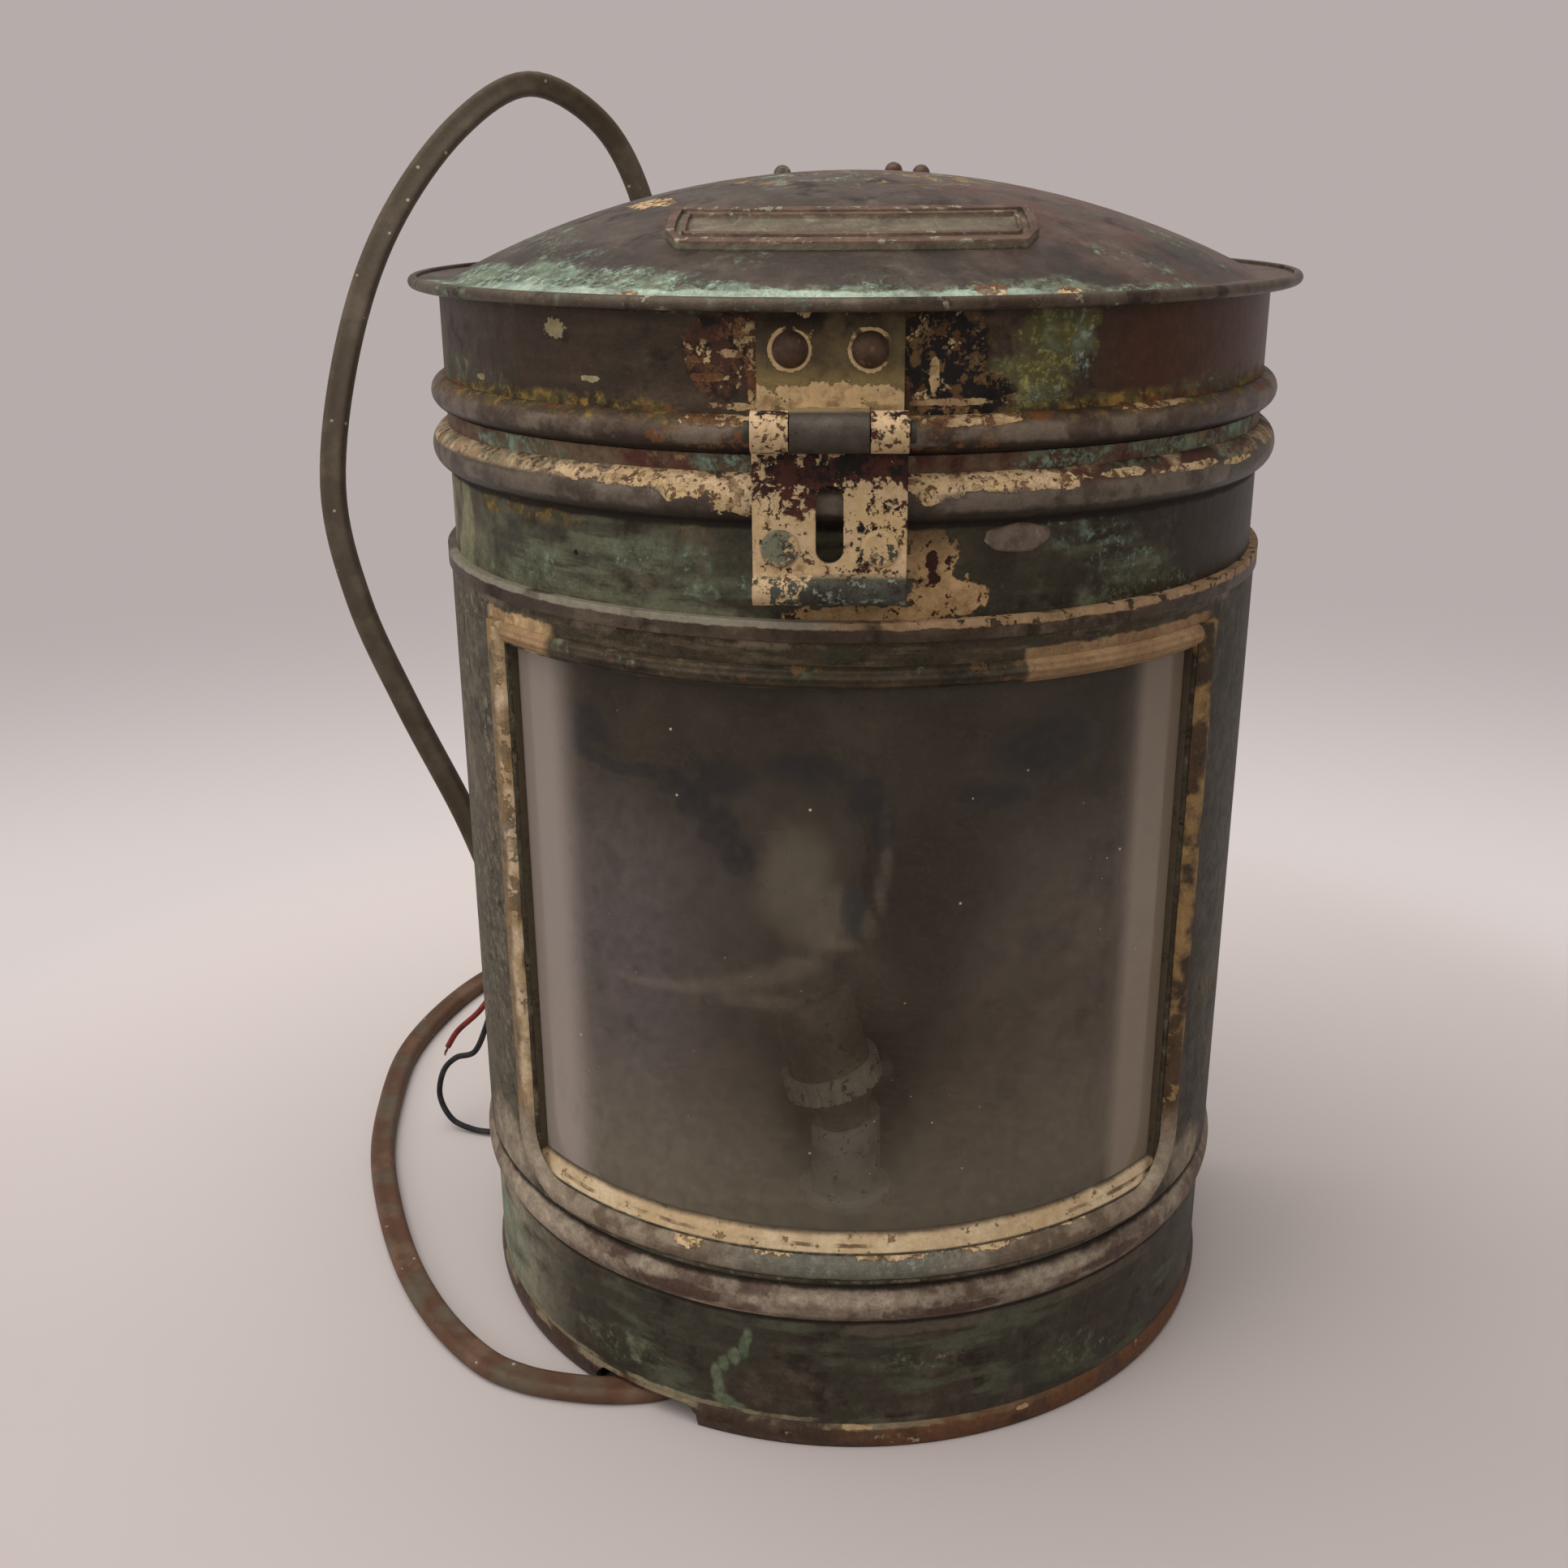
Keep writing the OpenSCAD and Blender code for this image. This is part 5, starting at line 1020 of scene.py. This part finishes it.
def bare_strands(name, line, material):
    """A small brush of copper strands out of a core's cut end."""
    draw = random.Random(name)
    end, ahead = line[-1], (line[-1] - line[-3]).normalized()
    points, faces = [], []
    count, strand_r, strand_l, sides = 9, 0.16 * MM, 5 * MM, 6
    side = ahead.orthogonal().normalized()
    other = ahead.cross(side)
    for _ in range(count):
        turn, out = draw.uniform(0, 2 * math.pi), draw.uniform(0, 0.62) * MM
        radial = math.cos(turn) * side + math.sin(turn) * other
        start = end - 1 * MM * ahead + out * radial
        tip = end + draw.uniform(0.6, 1) * strand_l * ahead + (out + draw.uniform(0, 0.5) * MM) * radial
        tip.z = max(tip.z, strand_r)
        first = len(points)
        for middle in (start, (start + tip) / 2, tip):
            points += [middle + strand_r * (s * side + t * other) for s, t in circle(sides)]
        faces += tube_faces(3, sides, first)
    return mesh_object(name, points, faces, material)


def on_front(azimuth, radius, z):
    a = math.radians(azimuth)
    return Vector((radius * math.sin(a), -radius * math.cos(a), z))


def make_solder():
    """Uneven smear of old solder in place of the plain pad."""
    low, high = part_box("solder_patch")
    middle_z = (low.z + high.z) / 2
    azimuth = math.degrees(math.atan2((low.x + high.x) / 2, -(low.y + high.y) / 2))
    half_w, half_h, thick = 10.2 * MM, 4.0 * MM, 1.0 * MM
    rings, sides = 9, 48
    points = [on_front(azimuth, upper_r + thick * 0.85, middle_z)]
    for ring in range(1, rings + 1):
        t = ring / rings
        for across, up in circle(sides):
            wobble = 1 + 0.16 * noise.noise(Vector((1.6 * across, 1.6 * up, 3)))
            s, h = t * wobble * half_w * across, t * wobble * half_h * up
            bumps = 0.75 + 0.5 * noise.noise(Vector((s, h, 0)) * 300)
            out = -0.3 * MM if ring == rings else thick * bumps * (1 - t**4)
            points.append(on_front(azimuth + math.degrees(s / upper_r), upper_r + out, middle_z + h))
    faces = [(0, 1 + k, 1 + (k + 1) % sides) for k in range(sides)]
    for ring in range(rings - 1):
        for k in range(sides):
            a, b = 1 + ring * sides + k, 1 + ring * sides + (k + 1) % sides
            faces.append((a, a + sides, b + sides, b))
    faces.append(tuple(range(len(points) - 1, len(points) - 1 - sides, -1)))
    smear = mesh_object("solder_smear", points, faces, solder_finish())
    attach(smear, "body")
    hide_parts("solder_patch")


FINISHES = {
    dome_finish: ("dome", "dome_back", "dome_rivets"),
    plate_finish: ("name_plate",),
    brim_finish: ("brim_wire",),
    lid_band_finish: ("lid_band",),
    lid_bead_finish: ("lid_bead",),
    body_bead_finish: ("body_bead",),
    upper_band_finish: ("upper_band",),
    seam_finish: ("seam_ring",),
    shell_finish: ("window_shell",),
    frame_finish: ("window_frame",),
    head_bead_finish: ("head_bead",),
    putty_finish: ("glass_putty",),
    roll_finish: ("base_roll",),
    base_band_finish: ("base_band",),
    rim_finish: ("base_rim",),
    hasp_leaf_finish: ("hasp_leaf",),
    hasp_plate_finish: ("hasp_plate",),
    rivet_finish: ("hasp_rivets", "hinge_body_rivets", "hinge_lid_rivets", "socket_rivets"),
    disc_finish: ("hasp_discs",),
    inner_finish: (
        "inner_collar", "base_pan", "glass_channel_left", "glass_channel_right", "glass_sill", "glass_head",
    ),
    rear_finish: ("socket_plate", "socket_strap"),
    porcelain_finish: ("lamp_pillar", "holder_insert", "terminal_block"),
    iron_finish: ("hinge_pin", "hasp_pin"),
    window_glass_finish: ("window_glass",),
    bulb_glass_finish: ("bulb_glass", "bulb_stem"),
    filament_finish: ("bulb_filament",),
}
BRASS_NODES = ("holder_cap", "holder_barrel", "holder_plungers", "bulb_cap")
HINGE_NODES = ("hinge_body_leaf", "hinge_lid_leaf")


def dress_nodes():
    """Gives each solid of the frame its finish."""
    materials = [(make(), names) for make, names in FINISHES.items()]
    # Painted light: the lamp holder and shade ring get lighter, less metallic copies of the brass so they
    # show lit through the dirty glass
    materials.append((brass_finish("holder_brass", (360, 300, 210), (220, 185, 135), 0.3), BRASS_NODES))
    materials.append((brass_finish("ring_brass_painted_light", (780, 690, 540), (620, 540, 410), 0), ("shade_ring",)))
    materials.append((brass_finish("hinge_brass", (175, 125, 58), (85, 66, 42)), HINGE_NODES))
    for material, names in materials:
        for name in names:
            data = nodes[name].data
            data.materials.clear()
            data.materials.append(material)


# Tone of the wall high and low behind the lantern, the directions between which it brightens downwards,
# and the light of the room
WALL_HIGH = (468, 418, 408)
WALL_LOW = (700, 635, 622)
WALL_BRIGHTENS = -0.22, -0.37
ROOM_LIGHT = (300, 280, 265)


def make_stage():
    """Pale paper floor that ends softly round the lantern, and a world in the tone of the wall."""
    size = 4.0
    data = bpy.data.meshes.new("floor")
    corners = [(-size, -size, 0), (size, -size, 0), (size, size, 0), (-size, size, 0)]
    data.from_pydata(corners, [], [(0, 1, 2, 3)])
    floor = new_object("floor", data)
    f = Finish("pale_floor", (520, 472, 460), 0.75)
    f.layer(f.cloud(300, 35, 65), (505, 457, 446))
    # Painted light: the floor is made paler towards the back
    near_y, far_y = -0.15, 0.36
    f.layer(f.smooth(f.y, near_y, far_y), (750, 685, 670))
    fade_start, fade_end = 0.36, 0.5
    f.give("Alpha", f.smooth(f.vector("LENGTH", f.place), fade_end, fade_start))
    data.materials.append(f.done(0))

    world = bpy.data.worlds.new("soft_room")
    bpy.context.scene.world = world
    world.use_nodes = True
    w = Nodes(world.node_tree)
    path = w.add("LightPath").outputs
    seen = w.either(w.either(path["Is Camera Ray"], path["Is Glossy Ray"]), path["Is Transmission Ray"])
    direction = w.add("TexCoord").outputs["Generated"]
    down = w.smooth(w.add("SeparateXYZ", direction).outputs["Z"], *WALL_BRIGHTENS)
    wall = w.tint(down, WALL_HIGH, WALL_LOW)
    w.feed(w.tree.nodes["Background"].inputs["Color"], w.tint(seen, ROOM_LIGHT, wall))


def area_light(name, place, target, size, power, colour):
    data = bpy.data.lights.new(name, "AREA")
    data.shape = "DISK"
    data.size = size
    data.energy = power
    data.color = colour
    light = new_object(name, data)
    light.location = place
    light.rotation_mode = "QUATERNION"
    light.rotation_quaternion = (Vector(target) - Vector(place)).to_track_quat("-Z", "Y")


def make_lights():
    area_light("ceiling_light", (-0.35, -0.25, 1.7), (0, 0, 0.1), 2.0, 27, (1.0, 0.97, 0.94))
    area_light("window_light", (-1.5, -1.1, 0.9), (0, 0, 0.2), 1.4, 12, (1.0, 0.97, 0.94))
    area_light("room_light", (1.4, -1.4, 1.0), (0, 0, 0.2), 1.6, 7, (1.0, 0.94, 0.87))


make_camera()
make_cords()
make_solder()
dress_nodes()
make_stage()
make_lights()

bpy.context.scene.view_settings.view_transform = "Standard"
